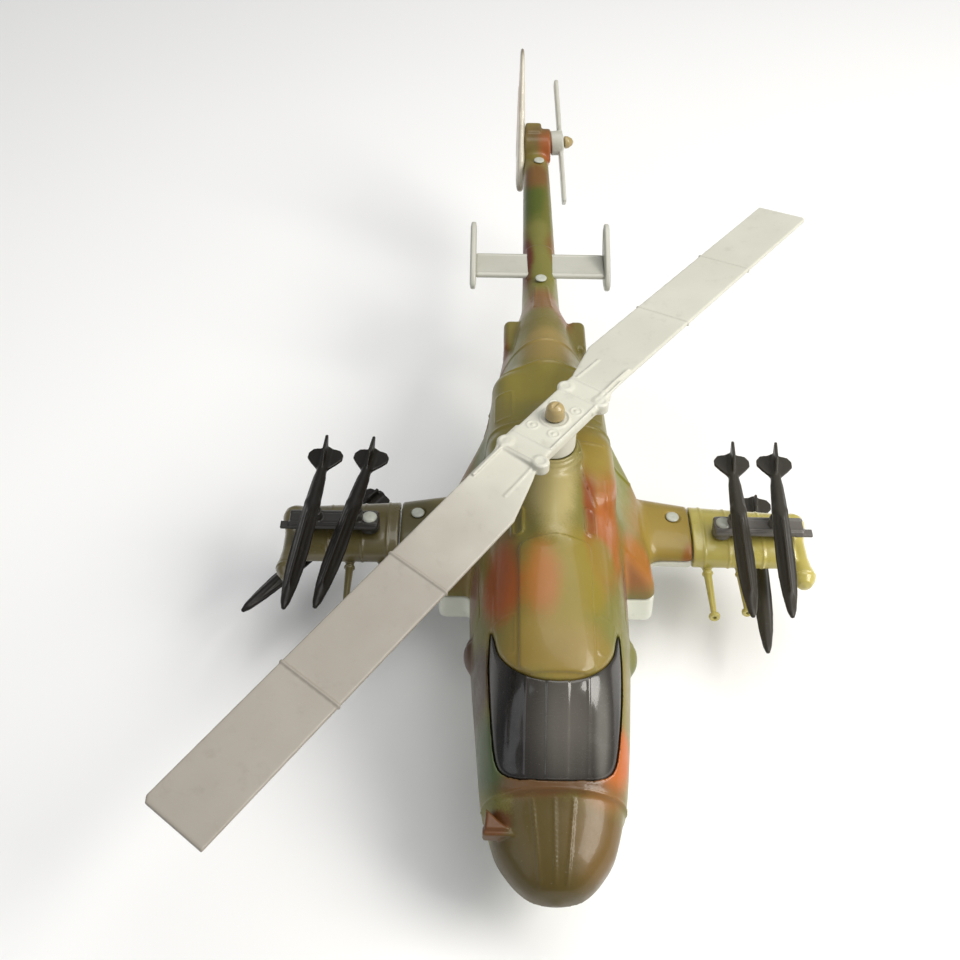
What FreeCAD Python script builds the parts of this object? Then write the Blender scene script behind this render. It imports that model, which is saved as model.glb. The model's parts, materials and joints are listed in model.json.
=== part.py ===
import FreeCAD, Part
import math
import os

# Toy attack helicopter, millimetres. Nose towards -Y, tail towards +Y, +X is the pilot's left, +Z up.
# The origin is under the main rotor axis, on the flat belly.

# ---- driving dimensions ----
wall = 1.8                  # moulded skin thickness
fit_gap = 0.05              # running clearance on a radius
clear_gap = 0.4             # clearance between pieces that move past each other
seam_overlap = 3            # how far the hollows are cut past the joint of the two halves

# fuselage sections: (y, value), y along the fuselage
half_width = [(-146, 3), (-144, 9), (-138, 15.5), (-129, 20.8), (-112, 24.6), (-81, 27.3), (-58, 28.8),
              (-30, 29.5), (10, 29.5), (35, 27.5), (55, 24.5), (82, 19.5), (100, 15.5), (112, 11),
              (124, 8.6), (215, 6.9), (256, 6.2)]
top_height = [(-146, 23), (-144, 27), (-138, 31.5), (-129, 35.5), (-118, 40), (-112, 44.5), (-104, 52),
              (-91, 62.5), (-80, 67), (-60, 71.5), (-40, 75), (-20, 77), (0, 78), (20, 78), (40, 77),
              (58, 75.5), (75, 73), (90, 70), (105, 66), (120, 61.5), (139, 59), (200, 61.5), (238, 63),
              (256, 62)]
belly_height = [(-146, 17), (-144, 12.5), (-138, 8), (-129, 4.5), (-112, 1.7), (-90, 0.4), (40, 0.4),
                (60, 4), (80, 13), (100, 27), (115, 36), (132, 42.5), (170, 45), (238, 49), (256, 51)]
seam_height = [(-146, 20), (-138, 21), (-120, 23.5), (-90, 25), (45, 25), (70, 29), (95, 40), (115, 47),
               (135, 50.5), (238, 56), (256, 56.5)]
upper_roundness = [(-146, 2.1), (-112, 2.3), (-60, 2.35), (0, 2.1), (60, 2.0), (110, 2.0), (256, 2.2)]
lower_roundness = 2.6
arc_steps = 10
belly_pad_half = (8, 15)    # flat pad under the rotor axis, half size in x and y
belly_pad_depth = 2
section_stations = [-146, -144, -141, -136, -128] + list(range(-116, 250, 16)) + [256]

# cockpit glass, plan outline of one half: (x, y)
glass_outline = [(0, -114.3), (9, -113.6), (16, -111.5), (19.6, -106), (21, -98), (22.2, -88), (22.4, -76),
                 (21.6, -68), (19.6, -72), (18, -78), (14.5, -84), (8.8, -88.2), (0, -89.8)]
glass_thickness = 1.4
glass_recess = 0.5
glass_bar_half = 3.6        # raised band down the middle

# cowl
cowl_hump_radius = 9.5
cowl_hump_front = -37
cowl_hump_rear = 20
cowl_hump_height = 70.6     # axis height, the hump stands on the roof
intake_radius = 9.5
intake_side = 14.5
intake_height = 65
intake_front = -11.5
intake_rear = 55.5
mast_boss_radius = 11
mast_boss_top = 82.4

# wing root fairings and stub wings
wing_rear = 22
wing_front = -7
wing_mid_height = 26
wing_thickness = 14
root_joint = 57.6           # x where the painted root ends
root_rows = [(-26, 41, 12), (-12, 40.5, 11), (16, 38, 12), (34, 28, 14)]    # (y, reach, underside)
root_inner = 12
root_shoulder = 27
root_heights = (28, 35, 47, 60)
pod_joint_gap = 0.6
spigot_length = 8
wing_end = 99
tip_pod_x = 102.5
tip_pod_mid = 2.5
tip_pod_profile = [(-17.5, 0), (-16.8, 2.6), (-14, 4.5), (-11, 4.7), (-8, 3.9), (-3, 3.3), (5, 3.3),
                   (10, 3.9), (13, 4.6), (16, 4.6), (18.4, 3), (19, 0)]
tip_pod_height = 25
barrel_x = [64.5, 77.5]
barrel_height = 21.5
barrel_tip = [-29.5, -27]
barrel_root_radius = 1.7
barrel_tip_radius = 1.05
muzzle_radius = 2.1

# racks and missiles
rack_inner = 66
rack_outer = 107.5
rack_mid_y = 3
rack_depth = 10
rack_low = 36
rack_high = 38.8
rack_foot_low = 33.05
pivot_boss_top = 42.6
rack_pin_place = (69.5, 3)
rack_pin_radius = 2
rack_cap_radius = 3.0
rack_cap_height = 1.4
peg_radius = 1.5
peg_head_radius = 2.2
upper_height = 46.5
lower_height = 9.5
lower_pivot = (90.4, 17)
missile_profile = [(-53, 0), (-52.3, 0.9), (-48, 1.9), (-40, 2.9), (-30, 3.3), (-8, 3.3), (2, 3),
                   (10, 2.6), (24, 2.4), (31, 2.2), (31, 0)]
strake_outline = [(0, -50), (2.2, -47), (4.6, -34), (4.7, -12), (3.6, -2), (0, 0)]
tail_fin_outline = [(0, 18), (2.4, 19), (7.1, 24.4), (7, 27.5), (3.6, 30.4), (0, 30.8)]
upright_fin_outline = [(16, 0), (24, 6.2), (32.5, 6.8), (29.5, 0), (28.5, -5), (22, -4.6)]
blade_plate = 1.1
missile_crest = 4.9

# main rotor
rotor_radius = 190
rotor_height = 95
rotor_azimuth = 53.7
rotor_droop = 3.57
rotor_pitch = 7.9
blade_lead = 7.8
blade_trail = 15.6
blade_thickness = 1.7
blade_root = 21
blade_taper = 1.8
crease_stations = [82.6, 134]
rotor_bore = 2.5
rotor_hub_radius = 11
rotor_hub_low = 93.2
rotor_hub_high = 96.4
rotor_skirt_radius = 8.2
rotor_skirt_low = 82.9
grip_radius = 3.6
grip_places = [(20, 8.6), (20.3, -7.6), (-20.3, 7.6), (-20, -8.6)]
knob_radius = 3.7
knob_top = 102.5
pin_depth = 60              # rotor pin reaches down to this height

# tail
tail_end = 256
hollow_front = -143
hollow_rear = 228
gearbox_place = (250, 61.5)
gearbox_radius = 9.5
gearbox_right = 6.6
tail_axis_place = (6.6, 251.5, 62.5)
tail_tilt = -5.0
tail_rotor_reach = 32
tail_rotor_angle = 45
tail_hub_radius = 6.3
tail_hub_length = 6
tail_blade_chord = 8.5
tail_blade_thickness = 2.2
tail_pin_radius = 1.6
fin_x = -8.0
fin_outline = [(231, 48), (238.5, 42), (245, 44), (262, 56), (274, 83), (282, 97), (279.5, 101), (271, 101),
               (260, 91), (247, 72), (235, 61)]
fin_thickness = 4.4
stabiliser_rear = 158.7
stabiliser_front = 141
stabiliser_half = 30
stabiliser_height = 56.2
stabiliser_thickness = 2.2
end_plate_outline = [(136.5, 52), (143, 48.5), (153, 50), (162, 57), (168.5, 65), (165.5, 69.5), (158, 67.5),
                     (139.5, 58)]
end_plate_thickness = 2.2

# joining pegs
boom_peg_place = (0, 134.5, 60.2)
tail_peg_place = (1.2, 233, 63.2)
wing_peg_place = (51, 11.5, 32.9)
staked_cap_radius = 2.7
staked_cap_height = 0.9
staked_shank_radius = 1.2

# undercarriage
ground_height = -14
main_axle_y = 12
main_wheel_radius = 10
main_wheel_inner = 27
main_wheel_width = 7
axle_radius = 1
axle_head_radius = 1.8
leg_inner = 19
leg_outer = 25
nose_axle_y = -96
nose_wheel_radius = 6.5
nose_wheel_width = 5
nose_lug_thickness = 2.5
main_height = ground_height + main_wheel_radius
nose_height = ground_height + nose_wheel_radius


# ---- helpers ----
def smooth_value(table, y):
    """Value at y on a smooth curve through the (y, value) pairs."""
    if y <= table[0][0]:
        return table[0][1]
    if y >= table[-1][0]:
        return table[-1][1]
    last = len(table) - 1
    steps = []
    for k in range(last):
        steps.append((table[k + 1][1] - table[k][1]) / (table[k + 1][0] - table[k][0]))

    def slope(k):
        if k == 0:
            return steps[0]
        if k == last:
            return steps[-1]
        if steps[k - 1] * steps[k] <= 0:
            return 0.0
        return 2 * steps[k - 1] * steps[k] / (steps[k - 1] + steps[k])

    k = 0
    while y > table[k + 1][0]:
        k += 1
    span = table[k + 1][0] - table[k][0]
    t = (y - table[k][0]) / span
    start = (2 * t ** 3 - 3 * t ** 2 + 1) * table[k][1] + (t ** 3 - 2 * t ** 2 + t) * slope(k) * span
    finish = (3 * t ** 2 - 2 * t ** 3) * table[k + 1][1] + (t ** 3 - t ** 2) * slope(k + 1) * span
    return start + finish


def vector(x, y, z):
    return FreeCAD.Vector(x, y, z)


def block(x0, x1, y0, y1, z0, z1):
    return Part.makeBox(x1 - x0, y1 - y0, z1 - z0, vector(x0, y0, z0))


def rod(base, direction, radius, length):
    return Part.makeCylinder(radius, length, vector(*base), vector(*direction))


def joined(pieces):
    whole = pieces[0]
    for piece in pieces[1:]:
        whole = whole.fuse(piece)
    return whole.removeSplitter()


def plate(points, direction):
    """Flat outline through the points, pushed along the direction."""
    face = Part.Face(Part.makePolygon([vector(*p) for p in points + points[:1]]))
    return face.extrude(vector(*direction))


def rounded_plate(points, direction):
    """Outline through the points as one smooth closed curve, pushed along the direction."""
    curve = Part.BSplineCurve()
    curve.interpolate(Points=[vector(*p) for p in points], PeriodicFlag=True)
    face = Part.Face(Part.Wire(curve.toShape()))
    return face.extrude(vector(*direction))


def turned(profile, centre, axis, zero):
    """Solid of revolution: profile pairs are (along the axis, radius)."""
    points = []
    for along, radius in profile:
        points.append(vector(*centre) + vector(*axis) * along + vector(*zero) * radius)
    outline = Part.makePolygon(points + points[:1])
    return Part.Face(outline).revolve(vector(*centre), vector(*axis), 360)


def mirrored(shape):
    return shape.mirror(vector(0, 0, 0), vector(1, 0, 0))


# ---- fuselage ----
def arc_point(y, angle, inset, upper):
    """Point of the upper or lower section arc; angle 0 is the -X side of the seam, pi the +X side."""
    width = smooth_value(half_width, y) - inset
    seam = smooth_value(seam_height, y)
    if upper:
        power = smooth_value(upper_roundness, y)
        rise = smooth_value(top_height, y) - inset - seam
    else:
        power = lower_roundness
        rise = smooth_value(belly_height, y) + inset - seam
    across = -math.cos(angle)
    x = width * math.copysign(abs(across) ** (2 / power), across)
    z = seam + rise * abs(math.sin(angle)) ** (2 / power)
    return vector(x, y, z)


def half_section(y, inset, upper, past_seam):
    """Closed outline of one fuselage half at y: the arc, closed straight across at or past the seam."""
    points = []
    for k in range(arc_steps + 1):
        points.append(arc_point(y, math.pi * k / arc_steps, inset, upper))
    points[0].z = smooth_value(seam_height, y)
    points[-1].z = smooth_value(seam_height, y)
    curve = Part.BSplineCurve()
    curve.interpolate(Points=points)
    if past_seam == 0:
        return Part.Wire([curve.toShape(), Part.LineSegment(points[-1], points[0]).toShape()])
    step = vector(0, 0, -past_seam if upper else past_seam)
    corners = [points[-1], points[-1] + step, points[0] + step, points[0]]
    edges = [curve.toShape()]
    for k in range(3):
        edges.append(Part.LineSegment(corners[k], corners[k + 1]).toShape())
    return Part.Wire(edges)


def half_body(inset, start, end, upper, past_seam=0):
    """Smooth solid through the half sections, moved in by the inset."""
    stations = [start] + [y for y in section_stations if start + 1 < y < end - 1] + [end]
    return Part.makeLoft([half_section(y, inset, upper, past_seam) for y in stations], True, False)


def wing_section(x, shrink):
    """Oval wing section across the flow at x."""
    half_chord = (wing_rear - wing_front) / 2 - shrink
    half_deep = wing_thickness / 2 - shrink
    middle = (wing_rear + wing_front) / 2
    points = []
    for k in range(20):
        angle = 2 * math.pi * k / 20
        y = middle + half_chord * math.copysign(abs(math.cos(angle)) ** 0.85, math.cos(angle))
        z = wing_mid_height + half_deep * math.copysign(abs(math.sin(angle)) ** 0.85, math.sin(angle))
        points.append(vector(x, y, z))
    curve = Part.BSplineCurve()
    curve.interpolate(Points=points, PeriodicFlag=True)
    return Part.Wire(curve.toShape())


def wing_bar(x0, x1, shrink):
    return Part.makeLoft([wing_section(x0, shrink), wing_section(x1, shrink)], True, True)


def fairing(inset):
    """Root fairing that spreads from the fuselage side down to the wing, +X side."""
    side_top, shoulder_low, shoulder_high, inner_top = root_heights
    rows = []
    for k, (y, reach, low) in enumerate(root_rows):
        if k == 0:
            y += inset
        if k == len(root_rows) - 1:
            y -= inset
        out = reach - inset
        outline = [(root_inner, y, low + inset), (out - 3, y, low + inset), (out, y, low + 4),
                   (out, y, side_top), (out - 4, y, shoulder_low - inset),
                   (root_shoulder - inset, y, shoulder_high - inset), (root_inner, y, inner_top - inset)]
        rows.append(Part.makePolygon([vector(*p) for p in outline + outline[:1]]))
    return Part.makeLoft(rows, True, True)


def bulge(side, x, z, radius, front, rear):
    """Long rounded bulge along the fuselage side."""
    length = rear - front
    profile = [(0, 0), (0.15 * radius, 0.5 * radius), (0.5 * radius, 0.86 * radius), (radius, radius),
               (length - radius, radius), (length - 0.5 * radius, 0.86 * radius),
               (length - 0.15 * radius, 0.5 * radius), (length, 0)]
    return turned(profile, (side * x, front, z), (0, 1, 0), (0, 0, 1))


def upper_features():
    """Everything that stands out of the upper half besides the wings."""
    pieces = []
    for side in (-1, 1):
        pieces.append(bulge(side, intake_side, intake_height, intake_radius, intake_front, intake_rear))
    hump_base = (0, cowl_hump_front, cowl_hump_height)
    pieces.append(rod(hump_base, (0, 1, 0), cowl_hump_radius, cowl_hump_rear - cowl_hump_front))
    pieces.append(rod((0, 0, 60), (0, 0, 1), mast_boss_radius, mast_boss_top - 60))
    y, z = gearbox_place
    gearbox = rod((-gearbox_right, y, z), (1, 0, 0), gearbox_radius, 2 * gearbox_right)
    pieces.append(gearbox.common(block(-20, 20, 230, 270, 50, z + 8)))
    return pieces


def wing_roots():
    """Hollow root fairings and inner wings of both sides, open where the outer wings plug in."""
    solid = joined([fairing(0), wing_bar(30, root_joint, 0)])
    hollow = joined([fairing(wall), wing_bar(28, root_joint + 2, wall)])
    right = solid.cut(hollow)
    return [right, mirrored(right)]


def seam_cutter():
    """Everything above the joint between the two fuselage halves."""
    points = []
    for y in range(-150, 275, 5):
        points.append(vector(-120, y, smooth_value(seam_height, y)))
    points.append(vector(-120, 275, 130))
    points.append(vector(-120, -150, 130))
    face = Part.Face(Part.makePolygon(points + points[:1]))
    return face.extrude(vector(240, 0, 0))


def glass_prism(grow):
    """Upright prism of the windscreen outline."""
    points = []
    for x, y in glass_outline:
        points.append(vector(x, y, 30))
    for x, y in reversed(glass_outline[1:-1]):
        points.append(vector(-x, y, 30))
    face = Part.Face(Part.makePolygon(points + points[:1]))
    if grow > 0:
        face = face.makeOffset2D(grow, 2)
    return face.extrude(vector(0, 0, 60))


def rotor_pin():
    """Olive push-in pin: round head over the hub, shank down through the cowl."""
    shank = rod((0, 0, pin_depth), (0, 0, 1), rotor_bore - fit_gap, knob_top - 3 - pin_depth)
    head_low = rotor_hub_high + 0.1
    profile = [(0, 0), (0, knob_radius), (4.2, knob_radius), (5.4, knob_radius - 0.7),
               (knob_top - head_low, 1.6), (knob_top - head_low, 0)]
    head = turned(profile, (0, 0, head_low), (0, 0, 1), (1, 0, 0))
    return joined([shank, head])


def stabiliser():
    plane = block(-stabiliser_half, stabiliser_half, stabiliser_front, stabiliser_rear,
                  stabiliser_height - stabiliser_thickness / 2, stabiliser_height + stabiliser_thickness / 2)
    edges = [e for e in plane.Edges if abs(e.Vertexes[0].X - e.Vertexes[1].X) > 10]
    return plane.makeFillet(0.9, edges)


def stabiliser_slot():
    low = stabiliser_height - stabiliser_thickness / 2
    return block(-40, 40, stabiliser_front, stabiliser_rear, low, low + stabiliser_thickness)


def end_plate():
    points = [(stabiliser_half, y, z) for y, z in end_plate_outline]
    return rounded_plate(points, (end_plate_thickness, 0, 0))


def staked_peg(place):
    """White joining peg: low domed cap and a short shank."""
    x, y, z = place
    profile = [(0, 0), (0, staked_cap_radius), (0.45, staked_cap_radius), (staked_cap_height, 1.7),
               (staked_cap_height, 0)]
    cap = turned(profile, place, (0, 0, 1), (1, 0, 0))
    shank = rod((x, y, z - 5), (0, 0, 1), staked_shank_radius, 5.2)
    return joined([cap, shank])


def peg_holes():
    cutters = []
    for place in peg_places():
        x, y, z = place
        cutters.append(rod((x, y, z - 5), (0, 0, 1), staked_shank_radius, 5))
        cutters.append(rod((x, y, z), (0, 0, 1), staked_cap_radius + 0.6, 6))
    return cutters


def peg_places():
    x, y, z = wing_peg_place
    return [boom_peg_place, tail_peg_place, (x, y, z), (-x, y, z)]


def peg_posts():
    """Posts inside the boom that hold its joining pegs."""
    posts = []
    for x, y, z in (boom_peg_place, tail_peg_place):
        posts.append(rod((x, y, z - 6), (0, 0, 1), staked_shank_radius + 1.2, 5.6))
    return posts


def upper_half(fin):
    """Painted upper moulding, hollow, with its posts, bosses and openings."""
    above = seam_cutter()
    skin = half_body(0, -146, tail_end, True)
    for piece in wing_roots() + upper_features():
        skin = skin.fuse(piece.common(above))
    skin = skin.cut(half_body(wall, hollow_front, hollow_rear, True, seam_overlap))
    inner_posts = [rod((0, 0, pin_depth), (0, 0, 1), rotor_bore + 2, mast_boss_top - pin_depth)]
    for post in peg_posts():
        inner_posts.append(post.common(above))
    y, z = gearbox_place
    tail_block = rod((-gearbox_right, y, z), (1, 0, 0), 4, 2 * gearbox_right)
    inner_posts.append(tail_block.common(above))
    for post in inner_posts:
        skin = skin.fuse(post)
    cutters = peg_holes()
    cutters.append(rod((0, 0, pin_depth - 1), (0, 0, 1), rotor_bore - fit_gap, 40))
    cutters.append(tail_pin_shank())
    cutters.append(stabiliser_slot())
    cutters.append(fin)
    cutters.append(glass_prism(0.15).common(block(-40, 40, -130, -60, 38, 90)))
    for cutter in cutters:
        skin = skin.cut(cutter)
    return skin


def lower_half(fin):
    """White belly moulding with its wheel legs and axle holes."""
    above = seam_cutter()
    skin = half_body(0, -146, tail_end, False)
    for root in wing_roots():
        skin = skin.fuse(root.cut(above))
    for leg in undercarriage_legs():
        skin = skin.fuse(leg)
    half_x, half_y = belly_pad_half
    skin = skin.fuse(block(-half_x, half_x, -half_y, half_y, 0, belly_pad_depth))
    skin = skin.cut(half_body(wall, hollow_front, hollow_rear, False, seam_overlap))
    for cutter in [main_axle_shank(), nose_axle_shank(), tail_pin_shank(), fin]:
        skin = skin.cut(cutter)
    return skin


def glass():
    """Smoked windscreen that fills the cockpit opening, with a raised band down the middle."""
    prism = glass_prism(0).common(block(-40, 40, -130, -60, 38.3, 90))
    inner = half_body(glass_recess + glass_thickness, -144, -22, True)
    pane = prism.common(half_body(glass_recess, -146, -20, True)).cut(inner)
    bar = prism.common(block(-glass_bar_half, glass_bar_half, -125, -80, 30, 90))
    bar = bar.common(half_body(0, -146, -20, True)).cut(inner)
    return joined([pane, bar])


def undercarriage_legs():
    legs = []
    for side in (-1, 1):
        x0 = min(side * leg_inner, side * leg_outer)
        x1 = max(side * leg_inner, side * leg_outer)
        foot = rod((x0, main_axle_y, main_height), (1, 0, 0), 3.4, x1 - x0)
        web = block(x0, x1, main_axle_y - 3.4, main_axle_y + 3.4, main_height, 9)
        legs.append(foot.fuse(web))
        inner = side * (nose_wheel_width / 2 + clear_gap)
        outer = side * (nose_wheel_width / 2 + clear_gap + nose_lug_thickness)
        x0 = min(inner, outer)
        x1 = max(inner, outer)
        foot = rod((x0, nose_axle_y, nose_height), (1, 0, 0), 2.8, x1 - x0)
        web = block(x0, x1, nose_axle_y - 2.8, nose_axle_y + 2.8, nose_height, 1.6)
        legs.append(foot.fuse(web))
    return legs


def main_axle_shank():
    half = main_wheel_inner + main_wheel_width + 0.5
    return rod((-half, main_axle_y, main_height), (1, 0, 0), axle_radius, 2 * half)


def main_axle():
    half = main_wheel_inner + main_wheel_width + 0.5
    pieces = [main_axle_shank()]
    for side in (-1, 1):
        pieces.append(rod((side * half, main_axle_y, main_height), (side, 0, 0), axle_head_radius, 0.8))
    return joined(pieces)


def nose_axle_shank():
    half = nose_wheel_width / 2 + clear_gap + nose_lug_thickness + 0.1
    return rod((-half, nose_axle_y, nose_height), (1, 0, 0), axle_radius, 2 * half)


def nose_axle():
    half = nose_wheel_width / 2 + clear_gap + nose_lug_thickness + 0.1
    pieces = [nose_axle_shank()]
    for side in (-1, 1):
        pieces.append(rod((side * half, nose_axle_y, nose_height), (side, 0, 0), axle_head_radius, 0.7))
    return joined(pieces)


def wheel(x0, width, y, z, radius, hub_width):
    """Moulded wheel with a dished web and a raised hub."""
    middle = x0 + width / 2
    profile = [(-width / 2, radius - 1), (-width / 2 + 1, radius), (width / 2 - 1, radius),
               (width / 2, radius - 1), (width / 2, radius * 0.72), (width / 4, radius * 0.66),
               (width / 4, radius * 0.42), (hub_width / 2, radius * 0.36),
               (hub_width / 2, axle_radius + fit_gap), (-hub_width / 2, axle_radius + fit_gap),
               (-hub_width / 2, radius * 0.36), (-width / 4, radius * 0.42), (-width / 4, radius * 0.66),
               (-width / 2, radius * 0.72)]
    return turned(profile, (middle, y, z), (1, 0, 0), (0, 0, 1))


# ---- wings, racks and missiles ----
def wing_pod():
    """Outer wing moulding with its spigot, tip pod and two gun barrels, +X side."""
    shoulder = root_joint + pod_joint_gap
    spigot = wing_bar(root_joint - spigot_length, shoulder + 1, wall + 2 * fit_gap)
    panel = wing_bar(shoulder, wing_end, 0)
    pod = turned(tip_pod_profile, (tip_pod_x, tip_pod_mid, tip_pod_height), (0, 1, 0), (1, 0, 0))
    bridge = block(wing_end - 3, tip_pod_x, -8, 14, tip_pod_height - 2.2, tip_pod_height + 2.2)
    pieces = [panel, spigot, pod, bridge]
    for x, tip in zip(barrel_x, barrel_tip):
        root = -2
        barrel = Part.makeCone(barrel_root_radius, barrel_tip_radius, root - tip,
                               vector(x, root, barrel_height), vector(0, -1, 0))
        pieces.append(barrel)
        pieces.append(rod((x, tip + 0.6, barrel_height), (0, -1, 0), muzzle_radius, 1.6))
    whole = joined(pieces)
    hollow = wing_bar(root_joint - spigot_length - 1, wing_end - 1.5, 2 * wall)
    whole = whole.cut(hollow)
    x, y = lower_pivot
    hanger = rod((x, y, 13.4), (0, 0, 1), 3.4, 12)
    whole = whole.fuse(hanger.common(block(60, 110, -20, 40, 13.4, 23)))
    stem = rod((x, y, lower_height - 3.6), (0, 0, 1), peg_radius, 8)
    head = rod((x, y, lower_height - 4.6), (0, 0, 1), peg_head_radius, 1)
    whole = whole.fuse(stem).fuse(head)
    x, y = rack_pin_place
    post = rod((x, y, wing_mid_height - 3), (0, 0, 1), rack_pin_radius + 1.5, 9)
    whole = whole.fuse(post.common(wing_bar(shoulder, wing_end, 0)))
    whole = whole.cut(rod((x, y, wing_mid_height - 2), (0, 0, 1), rack_pin_radius, 20))
    whole = whole.cut(block(60, 110, -3, 9, rack_foot_low, 50))
    x, y, z = wing_peg_place
    whole = whole.cut(rod((x, y, z - 6), (0, 0, 1), staked_shank_radius, 8))
    return whole.removeSplitter()


def rack(pivots):
    """Crossbar over the wing with a pinned foot and a peg under each upper missile."""
    x, y = rack_pin_place
    low_y = rack_mid_y - rack_depth / 2
    bar = block(rack_inner, rack_outer, low_y, low_y + rack_depth, rack_low, rack_high)
    edges = [e for e in bar.Edges if abs(e.Vertexes[0].Z - e.Vertexes[1].Z) > 1]
    bar = bar.makeFillet(2.5, edges)
    boss = rod((x, y, rack_foot_low), (0, 0, 1), 4.4, rack_high - rack_foot_low)
    foot = rod((tip_pod_x - 9, y, rack_foot_low), (0, 0, 1), 3, rack_low - rack_foot_low)
    pieces = [bar, boss, foot]
    for pivot in pivots:
        pieces.append(rod((pivot, rack_mid_y, rack_high - 1), (0, 0, 1), 3.2, pivot_boss_top - rack_high + 1))
        pieces.append(rod((pivot, rack_mid_y, rack_high), (0, 0, 1), peg_radius,
                          upper_height + 4.1 - rack_high))
        pieces.append(rod((pivot, rack_mid_y, upper_height + 3.6), (0, 0, 1), peg_head_radius, 0.9))
    whole = joined(pieces)
    whole = whole.cut(rod((x, y, rack_high), (0, 0, 1), rack_cap_radius + fit_gap, 4))
    return whole.cut(rod((x, y, 30), (0, 0, 1), rack_pin_radius, 20))


def rack_pin():
    x, y = rack_pin_place
    profile = [(0, 0), (0, rack_cap_radius), (0.9, rack_cap_radius), (rack_cap_height, 2.2),
               (rack_cap_height, 0)]
    cap = turned(profile, (x, y, rack_high), (0, 0, 1), (1, 0, 0))
    shank = rod((x, y, wing_mid_height - 1), (0, 0, 1), rack_pin_radius,
                rack_high + 0.5 - wing_mid_height + 1)
    return joined([cap, shank])


def missile():
    """One black missile, its swivel hole at the origin, nose towards -Y."""
    body = turned(missile_profile, (0, 0, 0), (0, 1, 0), (1, 0, 0))
    pieces = [body]
    half = blade_plate / 2
    for side in (-1, 1):
        strake = [(side * x, y, -half) for x, y in strake_outline]
        pieces.append(plate(strake, (0, 0, blade_plate)))
        fin = [(side * x, y, -half) for x, y in tail_fin_outline]
        pieces.append(plate(fin, (0, 0, blade_plate)))
    crest = [(-half, -46, 0), (-half, -38, missile_crest - 0.7), (-half, -6, missile_crest - 0.7),
             (-half, -4, 0)]
    pieces.append(plate(crest, (blade_plate, 0, 0)))
    upright = [(-half, y, z) for y, z in upright_fin_outline]
    pieces.append(plate(upright, (blade_plate, 0, 0)))
    pieces.append(rod((0, 0, -3.4), (0, 0, 1), 3.4, 6.8))
    whole = joined(pieces)
    return whole.cut(rod((0, 0, -10), (0, 0, 1), peg_radius + fit_gap, 20))


def placed_missile(x, y, z, yaw, flip):
    shape = missile()
    if flip:
        shape.rotate(vector(0, 0, 0), vector(0, 1, 0), 180)
    shape.rotate(vector(0, 0, 0), vector(0, 0, 1), yaw)
    shape.translate(vector(x, y, z))
    return shape


# ---- rotors ----
def rotor_blade():
    """Blade along +X before it is swung round: pitched, drooped, with two raised creases."""
    root_trail = [(12, 7), (22, 8.2), (28, 10.4), (46, blade_trail)]
    outline = [(12, -blade_lead - 1.4, 0), (20, -blade_lead - 1.2, 0), (27, -blade_lead, 0),
               (rotor_radius, -blade_lead + blade_taper / 2, 0),
               (rotor_radius, blade_trail - blade_taper / 2, 0)]
    for x, y in reversed(root_trail):
        outline.append((x, y, 0))
    flat = plate(outline, (0, 0, blade_thickness))
    flat.translate(vector(0, 0, -blade_thickness / 2))
    pieces = [flat]
    for station in crease_stations:
        ridge = block(station - 0.5, station + 0.5, -blade_lead + 0.6, blade_trail - 0.7,
                      -blade_thickness / 2 - 0.3, blade_thickness / 2 + 0.35)
        pieces.append(ridge)
    pieces.append(block(20, 40, -7.2, -5.6, 0, blade_thickness / 2 + 0.9))
    blade = joined(pieces)
    blade.rotate(vector(0, 0, 0), vector(1, 0, 0), -rotor_pitch)
    blade.rotate(vector(0, 0, 0), vector(0, 1, 0), rotor_droop)
    return blade


def main_rotor():
    """Two-blade rotor moulding: blades, hub plate, grip bosses and the skirt below the hub."""
    first = rotor_blade()
    second = rotor_blade()
    second.rotate(vector(0, 0, 0), vector(0, 0, 1), 180)
    low = rotor_hub_low - rotor_height
    high = rotor_hub_high - rotor_height
    hub = [(-23, -9.5), (-12, -9.2), (-5, -10.2), (5, -10.2), (14, -9.4), (24, -10.2), (23, 9.5),
           (12, 9.2), (5, 10.2), (-5, 10.2), (-14, 9.4), (-24, 10.2)]
    centre = plate([(x, y, low) for x, y in hub], (0, 0, high - low - 0.6))
    ring = rod((0, 0, low), (0, 0, 1), rotor_hub_radius - 3.5, high - low)
    pieces = [first, second, centre, ring]
    for x, y in grip_places:
        pieces.append(rod((x, y, low - 0.4), (0, 0, 1), grip_radius, high - low + 0.5))
    skirt_low = rotor_skirt_low - rotor_height
    pieces.append(rod((0, 0, skirt_low), (0, 0, 1), rotor_skirt_radius, -skirt_low))
    rotor = joined(pieces)
    rotor = rotor.cut(rod((0, 0, -20), (0, 0, 1), rotor_bore, 40))
    rotor.rotate(vector(0, 0, 0), vector(0, 0, 1), rotor_azimuth)
    rotor.translate(vector(0, 0, rotor_height))
    return rotor


def on_tail_axis(shape):
    """Moves a piece built along +X at the origin onto the tilted tail rotor axis."""
    x, y, z = tail_axis_place
    shape.rotate(vector(0, 0, 0), vector(0, 1, -1), tail_tilt)
    shape.translate(vector(x, y, z))
    return shape


def tail_pin_shank():
    return on_tail_axis(rod((-8, 0, 0), (1, 0, 0), tail_pin_radius, 18))


def tail_rotor_pin():
    shank = rod((-8, 0, 0), (1, 0, 0), tail_pin_radius, 17)
    profile = [(8.4, 0), (8.4, 3), (10.2, 3), (12.6, 1.7), (13, 0)]
    cap = turned(profile, (0, 0, 0), (1, 0, 0), (0, 1, 0))
    return on_tail_axis(joined([shank, cap]))


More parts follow.
